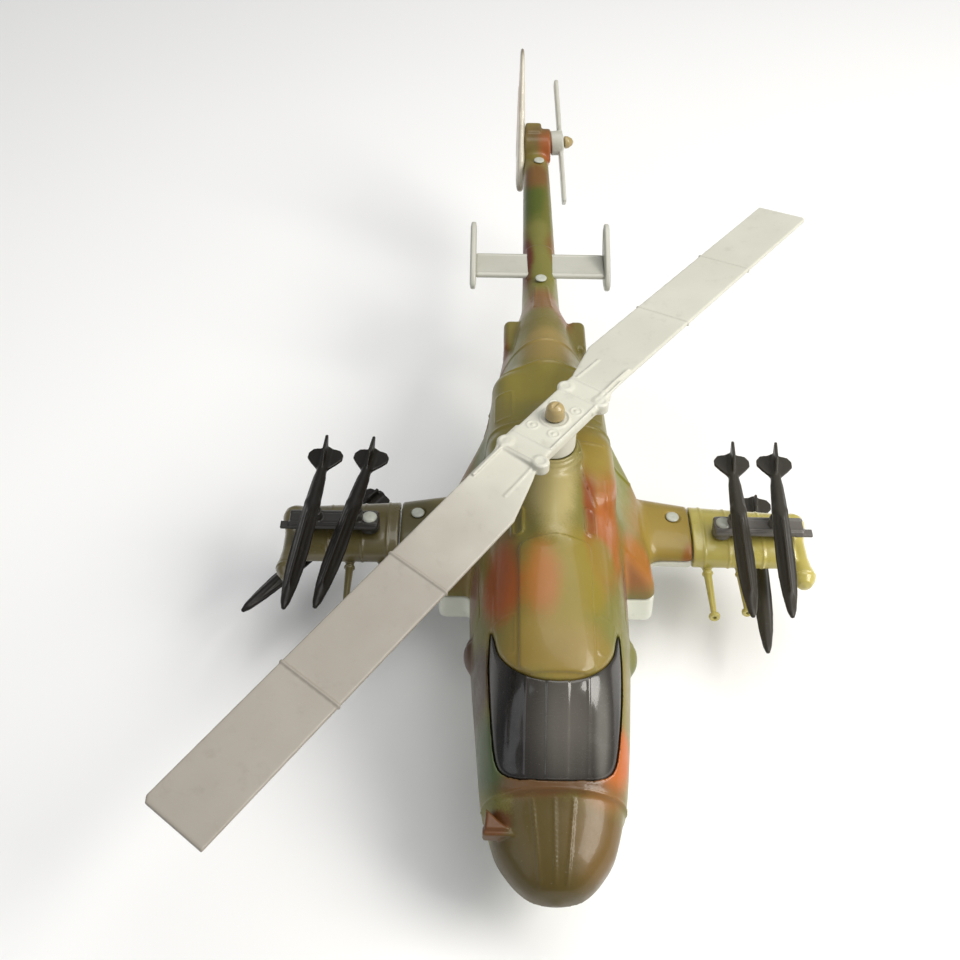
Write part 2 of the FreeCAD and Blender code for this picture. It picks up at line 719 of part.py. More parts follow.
def tail_rotor():
    """Two-blade tail rotor with its collar towards the gearbox."""
    collar = rod((clear_gap + 0.6, 0, 0), (1, 0, 0), tail_hub_radius, tail_hub_length)
    half = tail_blade_chord / 2
    low = tail_hub_length - 1
    outline = [(-tail_rotor_reach, -half + 1), (-tail_rotor_reach + 1.5, -half), (-7, -half), (-4, -half + 1),
               (4, -half + 1), (7, -half), (tail_rotor_reach - 1.5, -half), (tail_rotor_reach, -half + 1),
               (tail_rotor_reach, half - 1), (tail_rotor_reach - 1.5, half), (7, half), (4, half - 1),
               (-4, half - 1), (-7, half), (-tail_rotor_reach + 1.5, half), (-tail_rotor_reach, half - 1)]
    blades = plate([(low, a, b) for a, b in outline], (tail_blade_thickness, 0, 0))
    rotor = joined([collar, blades])
    rotor = rotor.cut(rod((-5, 0, 0), (1, 0, 0), tail_pin_radius + fit_gap, 30))
    rotor.rotate(vector(0, 0, 0), vector(1, 0, 0), tail_rotor_angle)
    return on_tail_axis(rotor)


def tail_fin():
    points = [(fin_x - fin_thickness / 2, y, z) for y, z in fin_outline]
    blade = rounded_plate(points, (fin_thickness, 0, 0))
    seat = fin_x + fin_thickness / 2
    wedge_out = plate([(fin_x - 6, 220, 60), (fin_x - 6, 290, 60), (fin_x - 6, 290, 110), (fin_x - 6, 220, 110)],
                      (6 - fin_thickness / 2, 0, 0))
    wedge_out.rotate(vector(fin_x - fin_thickness / 2, 0, 60), vector(0, 1, 0), 2.0)
    wedge_in = plate([(seat, 220, 60), (seat, 290, 60), (seat, 290, 110), (seat, 220, 110)], (6, 0, 0))
    wedge_in.rotate(vector(seat, 0, 60), vector(0, 1, 0), -1.4)
    return blade.cut(wedge_out).cut(wedge_in)


# ---- build ----
def build():
    fin = tail_fin()
    pod = wing_pod()
    left_out, left_in = (-91.2, -75.2)
    right_in, right_out = (74.1, 90.2)
    parts = {
        "upper_fuselage": upper_half(fin),
        "lower_fuselage": lower_half(fin),
        "windscreen": glass(),
        "main_rotor": main_rotor(),
        "rotor_pin": rotor_pin(),
        "tail_rotor": tail_rotor(),
        "tail_rotor_pin": tail_rotor_pin(),
        "tail_fin": fin,
        "stabiliser": stabiliser(),
        "end_plate_right": end_plate(),
        "end_plate_left": mirrored(end_plate()),
        "wing_right": pod,
        "wing_left": mirrored(pod),
        "rack_right": rack([right_in, right_out]),
        "rack_left": mirrored(rack([-left_in, -left_out])),
        "rack_pin_right": rack_pin(),
        "rack_pin_left": mirrored(rack_pin()),
        "missile_left_outer": placed_missile(left_out, rack_mid_y, upper_height, -5.2, False),
        "missile_left_inner": placed_missile(left_in, rack_mid_y, upper_height, -10.6, False),
        "missile_right_inner": placed_missile(right_in, rack_mid_y, upper_height, -2.1, False),
        "missile_right_outer": placed_missile(right_out, rack_mid_y, upper_height, -4.3, False),
        "missile_left_lower": placed_missile(-lower_pivot[0], lower_pivot[1], lower_height, -37.4, True),
        "missile_right_lower": placed_missile(lower_pivot[0], lower_pivot[1], lower_height, -4.6, True),
        "boom_peg": staked_peg(boom_peg_place),
        "tail_peg": staked_peg(tail_peg_place),
        "wing_peg_right": staked_peg(wing_peg_place),
        "wing_peg_left": mirrored(staked_peg(wing_peg_place)),
        "main_axle": main_axle(),
        "nose_axle": nose_axle(),
        "main_wheel_right": wheel(main_wheel_inner, main_wheel_width, main_axle_y, main_height,
                                  main_wheel_radius, main_wheel_width),
        "main_wheel_left": wheel(-main_wheel_inner - main_wheel_width, main_wheel_width, main_axle_y,
                                 main_height, main_wheel_radius, main_wheel_width),
        "nose_wheel": wheel(-nose_wheel_width / 2, nose_wheel_width, nose_axle_y, nose_height,
                            nose_wheel_radius, nose_wheel_width),
    }
    os.makedirs("parts", exist_ok=True)
    for name, shape in parts.items():
        shape.exportStep("parts/" + name + ".step")


build()
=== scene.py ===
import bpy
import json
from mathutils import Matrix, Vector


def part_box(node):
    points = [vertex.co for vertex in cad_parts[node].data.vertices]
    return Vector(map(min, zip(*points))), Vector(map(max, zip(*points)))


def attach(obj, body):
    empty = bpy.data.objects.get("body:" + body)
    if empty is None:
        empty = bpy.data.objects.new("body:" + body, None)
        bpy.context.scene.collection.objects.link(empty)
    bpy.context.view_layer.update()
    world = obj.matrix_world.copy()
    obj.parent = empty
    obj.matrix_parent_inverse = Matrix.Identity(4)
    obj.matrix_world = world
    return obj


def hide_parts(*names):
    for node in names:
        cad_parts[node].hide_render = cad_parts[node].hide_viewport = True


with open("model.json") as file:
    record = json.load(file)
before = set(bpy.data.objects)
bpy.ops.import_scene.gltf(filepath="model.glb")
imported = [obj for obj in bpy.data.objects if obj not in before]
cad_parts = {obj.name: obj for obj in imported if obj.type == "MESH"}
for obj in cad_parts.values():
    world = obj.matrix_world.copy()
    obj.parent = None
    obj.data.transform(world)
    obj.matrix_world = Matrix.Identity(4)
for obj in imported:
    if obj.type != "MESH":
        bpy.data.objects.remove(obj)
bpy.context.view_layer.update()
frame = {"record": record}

import copy
import json
import math
import bpy
import numpy as np
import openvdb
from mathutils import Matrix, Vector

# Toy helicopter. Shapes are worked out in millimetres in the frame's axes: nose -Y, tail +Y, +Z up.
metre = 0.001

# ---- fuselage curves: (y, value) ----
half_width = [(-146, 3), (-144, 9), (-138, 15.5), (-129, 20.8), (-112, 24.6), (-81, 27.3), (-58, 28.8),
              (-30, 29.5), (10, 29.5), (35, 27.5), (55, 24.5), (82, 19.5), (100, 15.5), (112, 11),
              (124, 8.6), (215, 6.9), (256, 6.2)]
top_height = [(-146, 23), (-144, 27), (-138, 31.5), (-129, 35.5), (-118, 40), (-112, 44.5), (-104, 52),
              (-91, 62.5), (-80, 67), (-60, 71.5), (-40, 75), (-20, 77), (0, 78), (20, 78), (40, 77),
              (58, 75.5), (75, 73), (90, 70), (105, 66), (120, 61.5), (139, 59), (200, 61.5), (238, 63),
              (256, 62)]
belly_height = [(-146, 17), (-144, 12.5), (-138, 8), (-129, 4.5), (-112, 1.7), (-90, 0.4), (40, 0.4),
                (60, 4), (80, 13), (100, 27), (115, 36), (132, 42.5), (170, 45), (238, 49), (256, 51)]
seam_height = [(-146, 20), (-138, 21), (-120, 23.5), (-90, 25), (45, 25), (70, 29), (95, 40), (115, 47),
               (135, 50.5), (238, 56), (256, 56.5)]
roundness = [(-146, 2.1), (-112, 2.3), (-92, 2.5), (-72, 2.45), (-55, 2.35), (0, 2.1), (60, 2.0),
             (110, 2.0), (256, 2.2)]
lower_roundness = 2.6
nose_tip = -146.6
tail_end = 256
seam_gap = 0.12                     # half the joint line between the two fuselage halves
nose_seam_drop = 8                  # the joint runs this much lower under the nose tip
wing_seam_rise = 1.8

# canopy, plan outline of one half: (x, y)
glass_outline = [(0, -114.3), (7, -114), (13, -113.2), (17.6, -111), (20, -107), (21.3, -99), (22.2, -88),
                 (22.6, -76), (21.9, -66.5), (20.6, -70), (19, -77), (15, -83.6), (8.6, -88.2), (0, -89.8)]
glass_floor = 38
glass_sunk = 0.35
glass_ledge = 2.4                   # depth of the opening that the canopy sits in

# out along the wing: (x, middle y, middle z, half chord, half depth)
wing_sections = [(28, 9.75, 27, 16.75, 8.4), (57.6, 7.5, 26, 14.5, 7), (75, 6.9, 25.8, 13.9, 6.6),
                 (99, 6.2, 25.6, 13.2, 6.2)]
wing_roundness = 2.35
wing_joint = 57.6
wing_joint_gap = 0.6
wing_end = 99
pod_x = 101
pod_height = 25
pod_profile = [(-17.5, 0), (-16.6, 2.6), (-14, 4.4), (-11, 4.6), (-8, 3.9), (-3, 3.3), (5, 3.3), (10, 3.9),
               (12.5, 4.9), (15, 5.2), (17.4, 4.7), (19.6, 3), (21, 0)]
barrels = [(64.5, -29.5), (77.5, -27)]      # x and muzzle y
barrel_height = 21.5

rack_low = 36
rack_high = 38.8
rack_y = 3
rack_pin_x = 69.5
rack_foot_x = 93.5
rack_foot_low = 33.05
pivot_boss_top = 42.6
peg_top = 47.8
upper_height = 46.5
lower_pivot = (90.4, 17)
lower_height = 9.5
left_pivots = (91.2, 75.2)
right_pivots = (74.1, 90.2)
peg_places = {"boom_peg": (0, 134.5, 60.2), "tail_peg": (1.2, 233, 63.2),
              "wing_peg_right": (51, 11.5, 32.9), "wing_peg_left": (-51, 11.5, 32.9)}

main_axle_place = (12, -4)          # y, z
nose_axle_place = (-96, -7.5)
main_wheel_x = 30.5
main_wheel_radius = 10
nose_wheel_radius = 6.5

rotor_height = 95
rotor_azimuth = math.radians(53.7)
rotor_droop = math.radians(3.57)
rotor_pitch = math.radians(7.9)
blade_outline = [(11, -9.2), (20, -9.2), (27, -7.8), (188.2, -7.8), (190, -6.4), (190, 15.4), (46, 15.6),
                 (28, 10.4), (22, 8.2), (12, 7)]
blade_half_depth = 0.85
blade_creases = (82.6, 134)
grips = [(16.8, 6.7), (17.4, -8.2), (-20.3, 7), (-21.4, -8.9)]
hub_bosses = [(6.4, 4.2), (7.6, -4.2), (-7.8, 4.2), (-7.2, -4.5)]

gearbox_place = (250, 61.5)         # y, z
tail_axis_place = (6.6, 251.5, 62.5)
tail_tilt = math.radians(-5)
tail_rotor_turn = math.radians(45)
fin_x = -8
fin_outline = [(231, 48), (238.5, 42), (245, 44), (254, 49.8), (262, 56.5), (269, 71), (275.5, 85.5),
               (282, 97), (279.5, 101), (271, 101), (260, 91), (247, 72), (235, 61)]
end_plate_outline = [(136.5, 53), (143, 48.5), (153, 50), (162, 57), (168.5, 65), (165.5, 69.5),
                     (158, 67.5), (147, 62.5), (139.5, 58)]
stabiliser_y = 149.85

# cell sizes of the grids
hull_cell = 0.62
rotor_cell = 0.45
wing_cell = 0.42
detail_cell = 0.36
fine_cell = 0.32
pin_cell = 0.3
small_cell = 0.28
body_low = -3 - 21 * hull_cell      # the body grid starts below the wheel legs
body_high = 86

room = 6                            # kept round a shape for its fillets
far_away = 50
lowest = (-999, -999, -999)
highest = (999, 999, 999)


# ---- fields: distance to a surface, negative inside, on a grid ----
def smooth_values(table, places):
    """Values of the smooth curve through the (place, value) pairs, one for each place."""
    at = np.array([p for p, v in table], float)
    value = np.array([v for p, v in table], float)
    step = np.diff(value) / np.diff(at)
    slope = np.zeros(len(at))
    slope[0] = step[0]
    slope[-1] = step[-1]
    for k in range(1, len(at) - 1):
        if step[k - 1] * step[k] > 0:
            slope[k] = 2 * step[k - 1] * step[k] / (step[k - 1] + step[k])
    places = np.clip(np.asarray(places, float), at[0], at[-1])
    k = np.clip(np.searchsorted(at, places) - 1, 0, len(at) - 2)
    span = at[k + 1] - at[k]
    t = (places - at[k]) / span
    start = (2 * t ** 3 - 3 * t ** 2 + 1) * value[k] + (t ** 3 - 2 * t ** 2 + t) * slope[k] * span
    finish = (3 * t ** 2 - 2 * t ** 3) * value[k + 1] + (t ** 3 - t ** 2) * slope[k + 1] * span
    return (start + finish).astype(np.float32)


def straight_values(places, at, values):
    return np.interp(places, at, values).astype(np.float32)


def either(a, b, soft):
    """Union of two fields with a fillet of that size."""
    if soft <= 0:
        return np.minimum(a, b)
    near = np.maximum(soft - np.abs(a - b), 0) / soft
    return np.minimum(a, b) - near * near * soft / 4


def both(a, b, soft):
    """Intersection of two fields with a rounded edge of that size."""
    return -either(-a, -b, soft)


def without(a, b, soft):
    return both(a, -b, soft)


def step_between(a, b, x):
    t = np.clip((x - a) / (b - a), 0, 1)
    return t * t * (3 - 2 * t)


def rounded_corner(a, b, round_off):
    """Distance round the corner where two half spaces meet, with the corner rounded off."""
    a = a + round_off
    b = b + round_off
    outside = np.sqrt(np.maximum(a, 0) ** 2 + np.maximum(b, 0) ** 2)
    return outside + np.minimum(np.maximum(a, b), 0) - round_off


class Form:
    """A field and the box of space that it is worked out in."""

    def __init__(self, field, low=lowest, high=highest):
        self.field = field
        self.low = low
        self.high = high


def held(field, centre, half):
    """Form about a centre, with room for fillets round its half size."""
    centre = np.array(centre, float)
    half = np.array(half, float) + room
    return Form(field, centre - half, centre + half)


class Solid:
    """A field on a box of cells that forms are added to and cut from."""

    def __init__(self, low, high, cell):
        self.low = np.array(low, np.float32)
        self.cell = cell
        self.axes = [np.arange(a, b + cell, cell, dtype=np.float32) for a, b in zip(low, high)]
        self.field = np.full([len(axis) for axis in self.axes], far_away, np.float32)

    def apply(self, rule, low=lowest, high=highest):
        """Replaces the field between two corners by rule(field, x, y, z)."""
        part = tuple(slice(*np.searchsorted(axis, (a, b))) for axis, a, b in zip(self.axes, low, high))
        x, y, z = np.ix_(*[axis[span] for axis, span in zip(self.axes, part)])
        self.field[part] = rule(self.field[part], x, y, z)

    def add(self, form, soft=0.6):
        self.apply(lambda f, x, y, z: either(f, form.field(x, y, z), soft), form.low, form.high)

    def cut(self, form, soft=0.4):
        self.apply(lambda f, x, y, z: without(f, form.field(x, y, z), soft), form.low, form.high)

    def keep(self, field, soft):
        """Keeps what lies inside the field."""
        self.apply(lambda f, x, y, z: both(f, field(x, y, z), soft))

    def raise_skin(self, form, height, soft=0.3):
        """Lifts the skin by height where the form's field is negative."""
        self.apply(lambda f, x, y, z: either(f, both(form.field(x, y, z), f - height, soft), soft),
                   form.low, form.high)

    def sink_skin(self, form, depth, soft=0.3):
        """Cuts a groove of that depth where the form's field is negative."""
        self.apply(lambda f, x, y, z: both(f, -both(form.field(x, y, z), -f - depth, soft), soft),
                   form.low, form.high)

    def layers(self, low, high):
        """Copy of the layers between two heights."""
        first, last = np.searchsorted(self.axes[2], (low, high))
        piece = copy.copy(self)
        piece.axes = self.axes[:2] + [self.axes[2][first:last]]
        piece.low = np.array([axis[0] for axis in piece.axes], np.float32)
        piece.field = self.field[:, :, first:last].copy()
        return piece


# ---- forms ----
def ellipsoid(centre, radii):
    def field(x, y, z):
        a, b, c = [(v - m) / r for v, m, r in zip((x, y, z), centre, radii)]
        near = np.sqrt(a * a + b * b + c * c)
        steep = np.sqrt((a / radii[0]) ** 2 + (b / radii[1]) ** 2 + (c / radii[2]) ** 2)
        return near * (near - 1) / np.maximum(steep, 1e-4)
    return held(field, centre, radii)


def box(centre, half, round_off):
    def field(x, y, z):
        d = [np.abs(v - m) - h + round_off for v, m, h in zip((x, y, z), centre, half)]
        outside = np.sqrt(sum(np.maximum(v, 0) ** 2 for v in d))
        return outside + np.minimum(np.maximum(np.maximum(d[0], d[1]), d[2]), 0) - round_off
    return held(field, centre, half)


def bar(start, end, radius, end_radius, section):
    """Straight bar; section turns (along, off axis, radius there, length) into a distance."""
    start = np.array(start, float)
    end = np.array(end, float)
    length = float(np.linalg.norm(end - start))
    along = (end - start) / length
    last = radius if end_radius is None else end_radius

    def field(x, y, z):
        p = [v - s for v, s in zip((x, y, z), start)]
        t = sum(v * a for v, a in zip(p, along))
        off = np.sqrt(np.maximum(sum(v * v for v in p) - t * t, 0))
        here = np.clip(t / length, 0, 1)
        return section(t, off, radius + (last - radius) * here, length)
    return held(field, (start + end) / 2, np.abs(end - start) / 2 + max(radius, last))


def rod(start, end, radius, end_radius=None, round_off=0.3):
    """Round bar between two points, with flat ends and rounded rims."""
    def section(t, off, wide, length):
        return rounded_corner(off - wide, np.abs(t - length / 2) - length / 2, round_off)
    return bar(start, end, radius, end_radius, section)


def bead(start, end, radius, end_radius=None):
    """Round bar with ball ends."""
    def section(t, off, wide, length):
        past = t - np.clip(t, 0, length)
        return np.sqrt(off * off + past * past) - wide
    return bar(start, end, radius, end_radius, section)


def ring(centre, axis, radius, thick):
    """Round-section ring about an axis (0, 1 or 2)."""
    def field(x, y, z):
        p = [x - centre[0], y - centre[1], z - centre[2]]
        up = p.pop(axis)
        return np.sqrt((np.sqrt(p[0] ** 2 + p[1] ** 2) - radius) ** 2 + up ** 2) - thick
    half = [radius + thick] * 3
    half[axis] = thick
    return held(field, centre, half)


def outline_field(points, a, b):
    """Distance to a closed outline in the plane of a and b."""
    best = None
    inside = None
    for (a0, b0), (a1, b1) in zip(points, points[1:] + points[:1]):
        da, db = a1 - a0, b1 - b0
        t = np.clip(((a - a0) * da + (b - b0) * db) / (da * da + db * db), 0, 1)
        gap = (a - a0 - t * da) ** 2 + (b - b0 - t * db) ** 2
        best = gap if best is None else np.minimum(best, gap)
        crosses = ((b0 > b) != (b1 > b)) & (a < a0 + da * (b - b0) / (db if db else 1e-9))
        inside = crosses if inside is None else inside ^ crosses
    return np.where(inside, -1, 1) * np.sqrt(best)


def slab(points, axis, low, high, round_off=0.3):
    """Outline in the two other axes, between low and high on the named axis."""
    def field(x, y, z):
        p = [x, y, z]
        along = p.pop(axis)
        flat = outline_field(points, p[0], p[1])
        return rounded_corner(flat, np.abs(along - (low + high) / 2) - (high - low) / 2, round_off)
    reach = [(min(values), max(values)) for values in zip(*points)]
    reach.insert(axis, (low, high))
    return held(field, [(a + b) / 2 for a, b in reach], [(b - a) / 2 for a, b in reach])


def turned(profile, centre, axis):
    """Solid of revolution from (along, radius) pairs."""
    points = [(a, r) for a, r in profile] + [(a, -r) for a, r in reversed(profile) if r > 0]

    def field(x, y, z):
        p = [x - centre[0], y - centre[1], z - centre[2]]
        along = p.pop(axis)
        return outline_field(points, along, np.sqrt(p[0] ** 2 + p[1] ** 2))
    first, last = profile[0][0], profile[-1][0]
    middle = list(centre)
    middle[axis] += (first + last) / 2
    half = [max(r for a, r in profile)] * 3
    half[axis] = (last - first) / 2
    return held(field, middle, half)


def either_side(form):
    """The form and its mirror image across X."""
    low = (-form.high[0], form.low[1], form.low[2])
    return Form(lambda x, y, z: form.field(np.abs(x), y, z), low, form.high)


def fused(a, b, soft):
    return Form(lambda x, y, z: either(a.field(x, y, z), b.field(x, y, z), soft),
                np.minimum(a.low, b.low), np.maximum(a.high, b.high))


# ---- flat fields that mark lines and patches on the skin ----
def stripe(axis, centre, half):
    """Band of that half width across one axis."""
    return lambda *place: np.abs(place[axis] - centre) - half


def patch(axes, centre, half):
    """Square-cornered patch, as wide as half says on each of the axes."""
    def field(*place):
        sides = [stripe(*side)(*place) for side in zip(axes, centre, half)]
        return np.maximum.reduce(np.broadcast_arrays(*sides))
    return field


def rounded_patch(axes, centre, half, round_off):
    def field(*place):
        a, b = [stripe(*side)(*place) for side in zip(axes, centre, half)]
        return rounded_corner(a, b, round_off)
    return field


def edge_of(field, half):
    """Line of that half width along the edge of a flat field."""
    return lambda *place: np.abs(field(*place)) - half


def line(axes, start, end, half):
    """Line of that half width between two points in the plane of the axes."""
    def field(*place):
        a, b = [place[k] - s for k, s in zip(axes, start)]
        da, db = [e - s for s, e in zip(start, end)]
        t = np.clip((a * da + b * db) / (da * da + db * db), 0, 1)
        return np.sqrt((a - t * da) ** 2 + (b - t * db) ** 2) - half
    return field


def rounded_outline(points, steps=5):
    """Closed smooth curve through the points."""
    curve = []
    for k in range(len(points)):
        p0, p1, p2, p3 = [np.array(points[(k + d) % len(points)], float) for d in (-1, 0, 1, 2)]
        for t in np.arange(steps) / steps:
            bend = 2 * p0 - 5 * p1 + 4 * p2 - p3 + t * (3 * (p1 - p2) + p3 - p0)
            spot = p1 + 0.5 * t * (p2 - p0 + t * bend)
            curve.append((float(spot[0]), float(spot[1])))
    return curve


def mirrored_outline(half):
    """Closed outline from the points of its +X half, which start and end on the middle line."""
    return half + [(-a, b) for a, b in reversed(half[1:-1])]


# ---- meshes ----
def sampled(solid, points):
    """Field values between the cells, at points in cell units."""
    base = np.clip(np.floor(points).astype(int), 0, np.array(solid.field.shape) - 2)
    t = points - base
    total = 0
    for corner in np.ndindex(2, 2, 2):
        weight = np.prod(np.where(corner, t, 1 - t), axis=1)
        total = total + weight * solid.field[tuple((base + corner).T)]
    return total


def field_normals(solid, points):
    """Unit normals of the field at points in cell units."""
    reach = 0.7
    normals = np.zeros_like(points)
    for k in range(3):
        push = reach * np.eye(3)[k]
        normals[:, k] = sampled(solid, points + push) - sampled(solid, points - push)
    return normals / np.maximum(np.linalg.norm(normals, axis=1, keepdims=True), 1e-6)


def skin_mesh(name, solid, place=None):
    """Mesh of the zero surface, with the field's own normals. place turns and shifts the points."""
    band = 3.0
    volume = openvdb.FloatGrid(band)
    volume.copyFromArray(np.clip(solid.field, -band, band))
    points, _, quads = volume.convertToPolygons(isovalue=0.0, adaptivity=0.0)
    points = np.array(points, np.float64)
    quads = np.array(quads)[:, ::-1]
    normals = field_normals(solid, points)
    points = points * solid.cell + solid.low
    a, b, c, d = [points[quads[:, k]] for k in range(4)]
    volume_sign = np.einsum("ij,ij->", a, np.cross(b, c) + np.cross(c, d))
    if place is not None:
        turn, shift = place
        points = points @ turn.T + shift
        normals = normals @ turn.T
        volume_sign *= np.linalg.det(turn)
    if volume_sign < 0:
        quads = quads[:, ::-1]
    mesh = bpy.data.meshes.new(name)
    mesh.vertices.add(len(points))
    mesh.vertices.foreach_set("co", (points * metre).astype(np.float32).ravel())
    mesh.loops.add(quads.size)
    mesh.loops.foreach_set("vertex_index", quads.astype(np.int32).ravel())
    mesh.polygons.add(len(quads))
    mesh.polygons.foreach_set("loop_start", np.arange(0, quads.size, 4, dtype=np.int32))
    mesh.update()
    mesh.validate()
    mesh.polygons.foreach_set("use_smooth", np.ones(len(mesh.polygons), bool))
    mesh.normals_split_custom_set_from_vertices(normals.tolist())
    mesh.update()
    piece = bpy.data.objects.new(name, mesh)
    bpy.context.scene.collection.objects.link(piece)
    return piece


bodies = frame["record"]["behaviour"]["bodies"]
body_of_node = {node: body for body, nodes in bodies.items() for node in nodes}


def show(name, node, solid, material, place=None):
    """Makes the piece that replaces a CAD node."""
    piece = skin_mesh(name, solid, place)
    piece.data.materials.clear()
    piece.data.materials.append(material)
    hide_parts(node)
    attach(piece, body_of_node[node])


# ---- fuselage ----
def oval_field(across, upward, reach, power, depth):
    """Distance to an oval: across and upward are 1 on it, reach is the distance from its middle."""
    grown = np.maximum(np.abs(across) ** power + np.abs(upward) ** power, 1e-4) ** (1 / power)
    return np.where(reach > 0.5, reach * (1 - 1 / grown), -depth)


def hull(x, y, z):
    """The plain fuselage: two superellipse arcs that meet at the seam, closed at nose and tail."""
    width, top, belly, seam, power = [
        smooth_values(table, y[0, :, 0])[None, :, None]
        for table in (half_width, top_height, belly_height, seam_height, roundness)]
    power = np.where(z > seam, power, lower_roundness)
    rise = np.where(z > seam, top - seam, seam - belly)
    reach = np.sqrt(x * x + (z - seam) ** 2)
    field = oval_field(x / width, (z - seam) / rise, reach, power, np.minimum(width, rise))
    field = both(field, nose_tip - y, 3)
    return both(field, y - tail_end, 1.5)


def wing_bar(x, y, z):
    """Oval wing section that tapers outwards, as an endless bar across the fuselage."""
    stations = [row[0] for row in wing_sections]
    middle_y, middle_z, chord, depth = [
        straight_values(np.abs(x), stations, [row[k] for row in wing_sections]) for k in range(1, 5)]
    reach = np.sqrt((y - middle_y) ** 2 + (z - middle_z) ** 2)
    return oval_field((y - middle_y) / chord, (z - middle_z) / depth, reach, wing_roundness, depth)


def inner_wing(x, y, z):
    return both(wing_bar(x, y, z), np.abs(x) - wing_joint, 1)


def fairing(x, y, z):
    """Wing root box: outer side, sloping top, floor, cut-off rear corner and front."""
    side = np.abs(x)
    outer = side - straight_values(y, (-26, 34), (42, 37))
    slope = ((side - 39.5) * 20 + (z - 35) * 16) / 25.6
    floor_side = 12.5 - z
    rear = ((side - 41) * 20 + (y - 15) * 14) / 24.4
    front = -24.5 - y + 0.12 * (z - 30)
    return both(both(both(both(outer, slope, 4), floor_side, 3), rear, 4), front, 4)


def add_cowl(solid):
    """Nacelles, gearbox hump, mast collar with two rings, exhaust boxes and cheek bumps."""
    solid.add(either_side(box((15.5, -1, 63), (6.5, 17, 9.5), 4)), 5)
    solid.add(either_side(bead((14.2, -4, 64.5), (13, 50, 63), 9.6, 9)), 6)
    solid.add(bead((0, -34, 69.5), (0, 22, 70.5), 8.6, 9.2), 3)
    solid.add(rod((0, 0, 62), (0, 0, 80.4), 11, round_off=1.2), 3)
    for height, radius in ((81, 9.5), (82.3, 8.5)):
        solid.add(ring((0, 0, height), 2, radius, 0.75), 0.5)
    for x in (-13.2, 14.6):
        solid.add(box((x, 93, 55.5), (3.8, 10, 5.5), 2.8), 2)
    solid.add(either_side(ellipsoid((27.2, -59, 33), (4, 7, 6))), 1.6)


def add_tail(solid):
    """Flat-topped gearbox drum with a block on top and a ring round its +X end."""
    y, z = gearbox_place
    flat_top = 69.6
    drum = rod((-6.4, y, z), (7.4, y, z), 9.3, round_off=1.2)
    solid.add(Form(lambda x, y, z: both(drum.field(x, y, z), z - flat_top, 1.8), drum.low, drum.high), 2.5)
    solid.add(box((-1.5, y + 4, z + 7), (4.2, 5, 2.2), 1.4), 1)
    solid.add(ring((6.4, y + 0.5, z + 0.3), 0, 6.4, 0.7), 0.4)


def add_cowl_lines(solid):
    """Raised roof panel, bands across the cowl, and lines and loops on both its sides."""
    panel = rounded_patch((0, 1), (0, -63.5), (12.6, 24.5), 3)
    solid.raise_skin(Form(panel, (-17, -92, 55), (17, -36, 84)), 1.15, 0.5)
    for y, half in ((20, 0.8), (57, 0.7), (74, 0.7)):
        solid.raise_skin(Form(stripe(1, y, half), (-34, y - 4, 30), (34, y + 4, 84)), 0.6, 0.5)
    paths = [[(9, 9), (20, 9)], [(20, -9), (20, -23)], [(9.4, 9), (10.5, -2), (13, -14), (15.5, -20)]]
    for points in paths:
        for start, end in zip(points, points[1:]):
            stroke = Form(line((0, 1), start, end, 0.45), (0, -30, 58), (26, 14, 84))
            solid.raise_skin(either_side(stroke), 0.4, 0.35)
    # centre, half size, corner, line half width, height, fillet, lowest z
    loops = [((13, -29), (1.7, 6), 1.6, 0.55, 0.75, 0.4, 60),
             ((17.2, -73), (3.4, 7), 1.2, 0.35, 0.35, 0.3, 48),
             ((17.5, 33), (3.2, 8), 1, 0.35, 0.35, 0.3, 60)]
    for centre, half, corner, wide, height, soft, low_z in loops:
        loop = edge_of(rounded_patch((0, 1), centre, half, corner), wide)
        low = [c - h - 3 for c, h in zip(centre, half)] + [low_z]
        high = [c + h + 3 for c, h in zip(centre, half)] + [84]
        solid.raise_skin(either_side(Form(loop, low, high)), height, soft)


def add_nose_lines(solid):
    """Step down to the nose cap, a band behind it and three ribs on it."""
    solid.apply(lambda f, x, y, z: f + 0.55 * (1 - step_between(-118.1, -117.1, y)),
                (-60, -160, 0), (60, -114, 99))
    solid.raise_skin(Form(stripe(1, -116.6, 0.55), (-30, -120, 24), (30, -112, 60)), 0.55, 0.35)
    for front, back, height in ((-5.4, -7.9, 0.35), (-0.6, -0.7, 0.3), (3.2, 5.7, 0.55)):
        def rib(x, y, z):
            middle = straight_values(y, (-143, -119), (front, back))
            return np.maximum(np.abs(x - middle) - 0.45, np.abs(y + 131) - 12)
        solid.raise_skin(Form(rib, (-12, -146, 22), (12, -116, 50)), height)


def add_sensor_wedge(solid):
    """Small triangular sensor housing on the left of the nose, with a flat lip in front."""
    block = [(-22.6, -119.8), (-23.2, -127.4), (-14.5, -127.4), (-18.4, -124.4)]
    lip = [(-23.6, -125.2), (-15.4, -125.4), (-10.8, -129.2), (-23.8, -128.8)]
    solid.add(slab(block, 2, 26, 34, 0.6), 0.6)
    solid.add(slab(lip, 2, 28.4, 32.8, 0.4), 0.3)


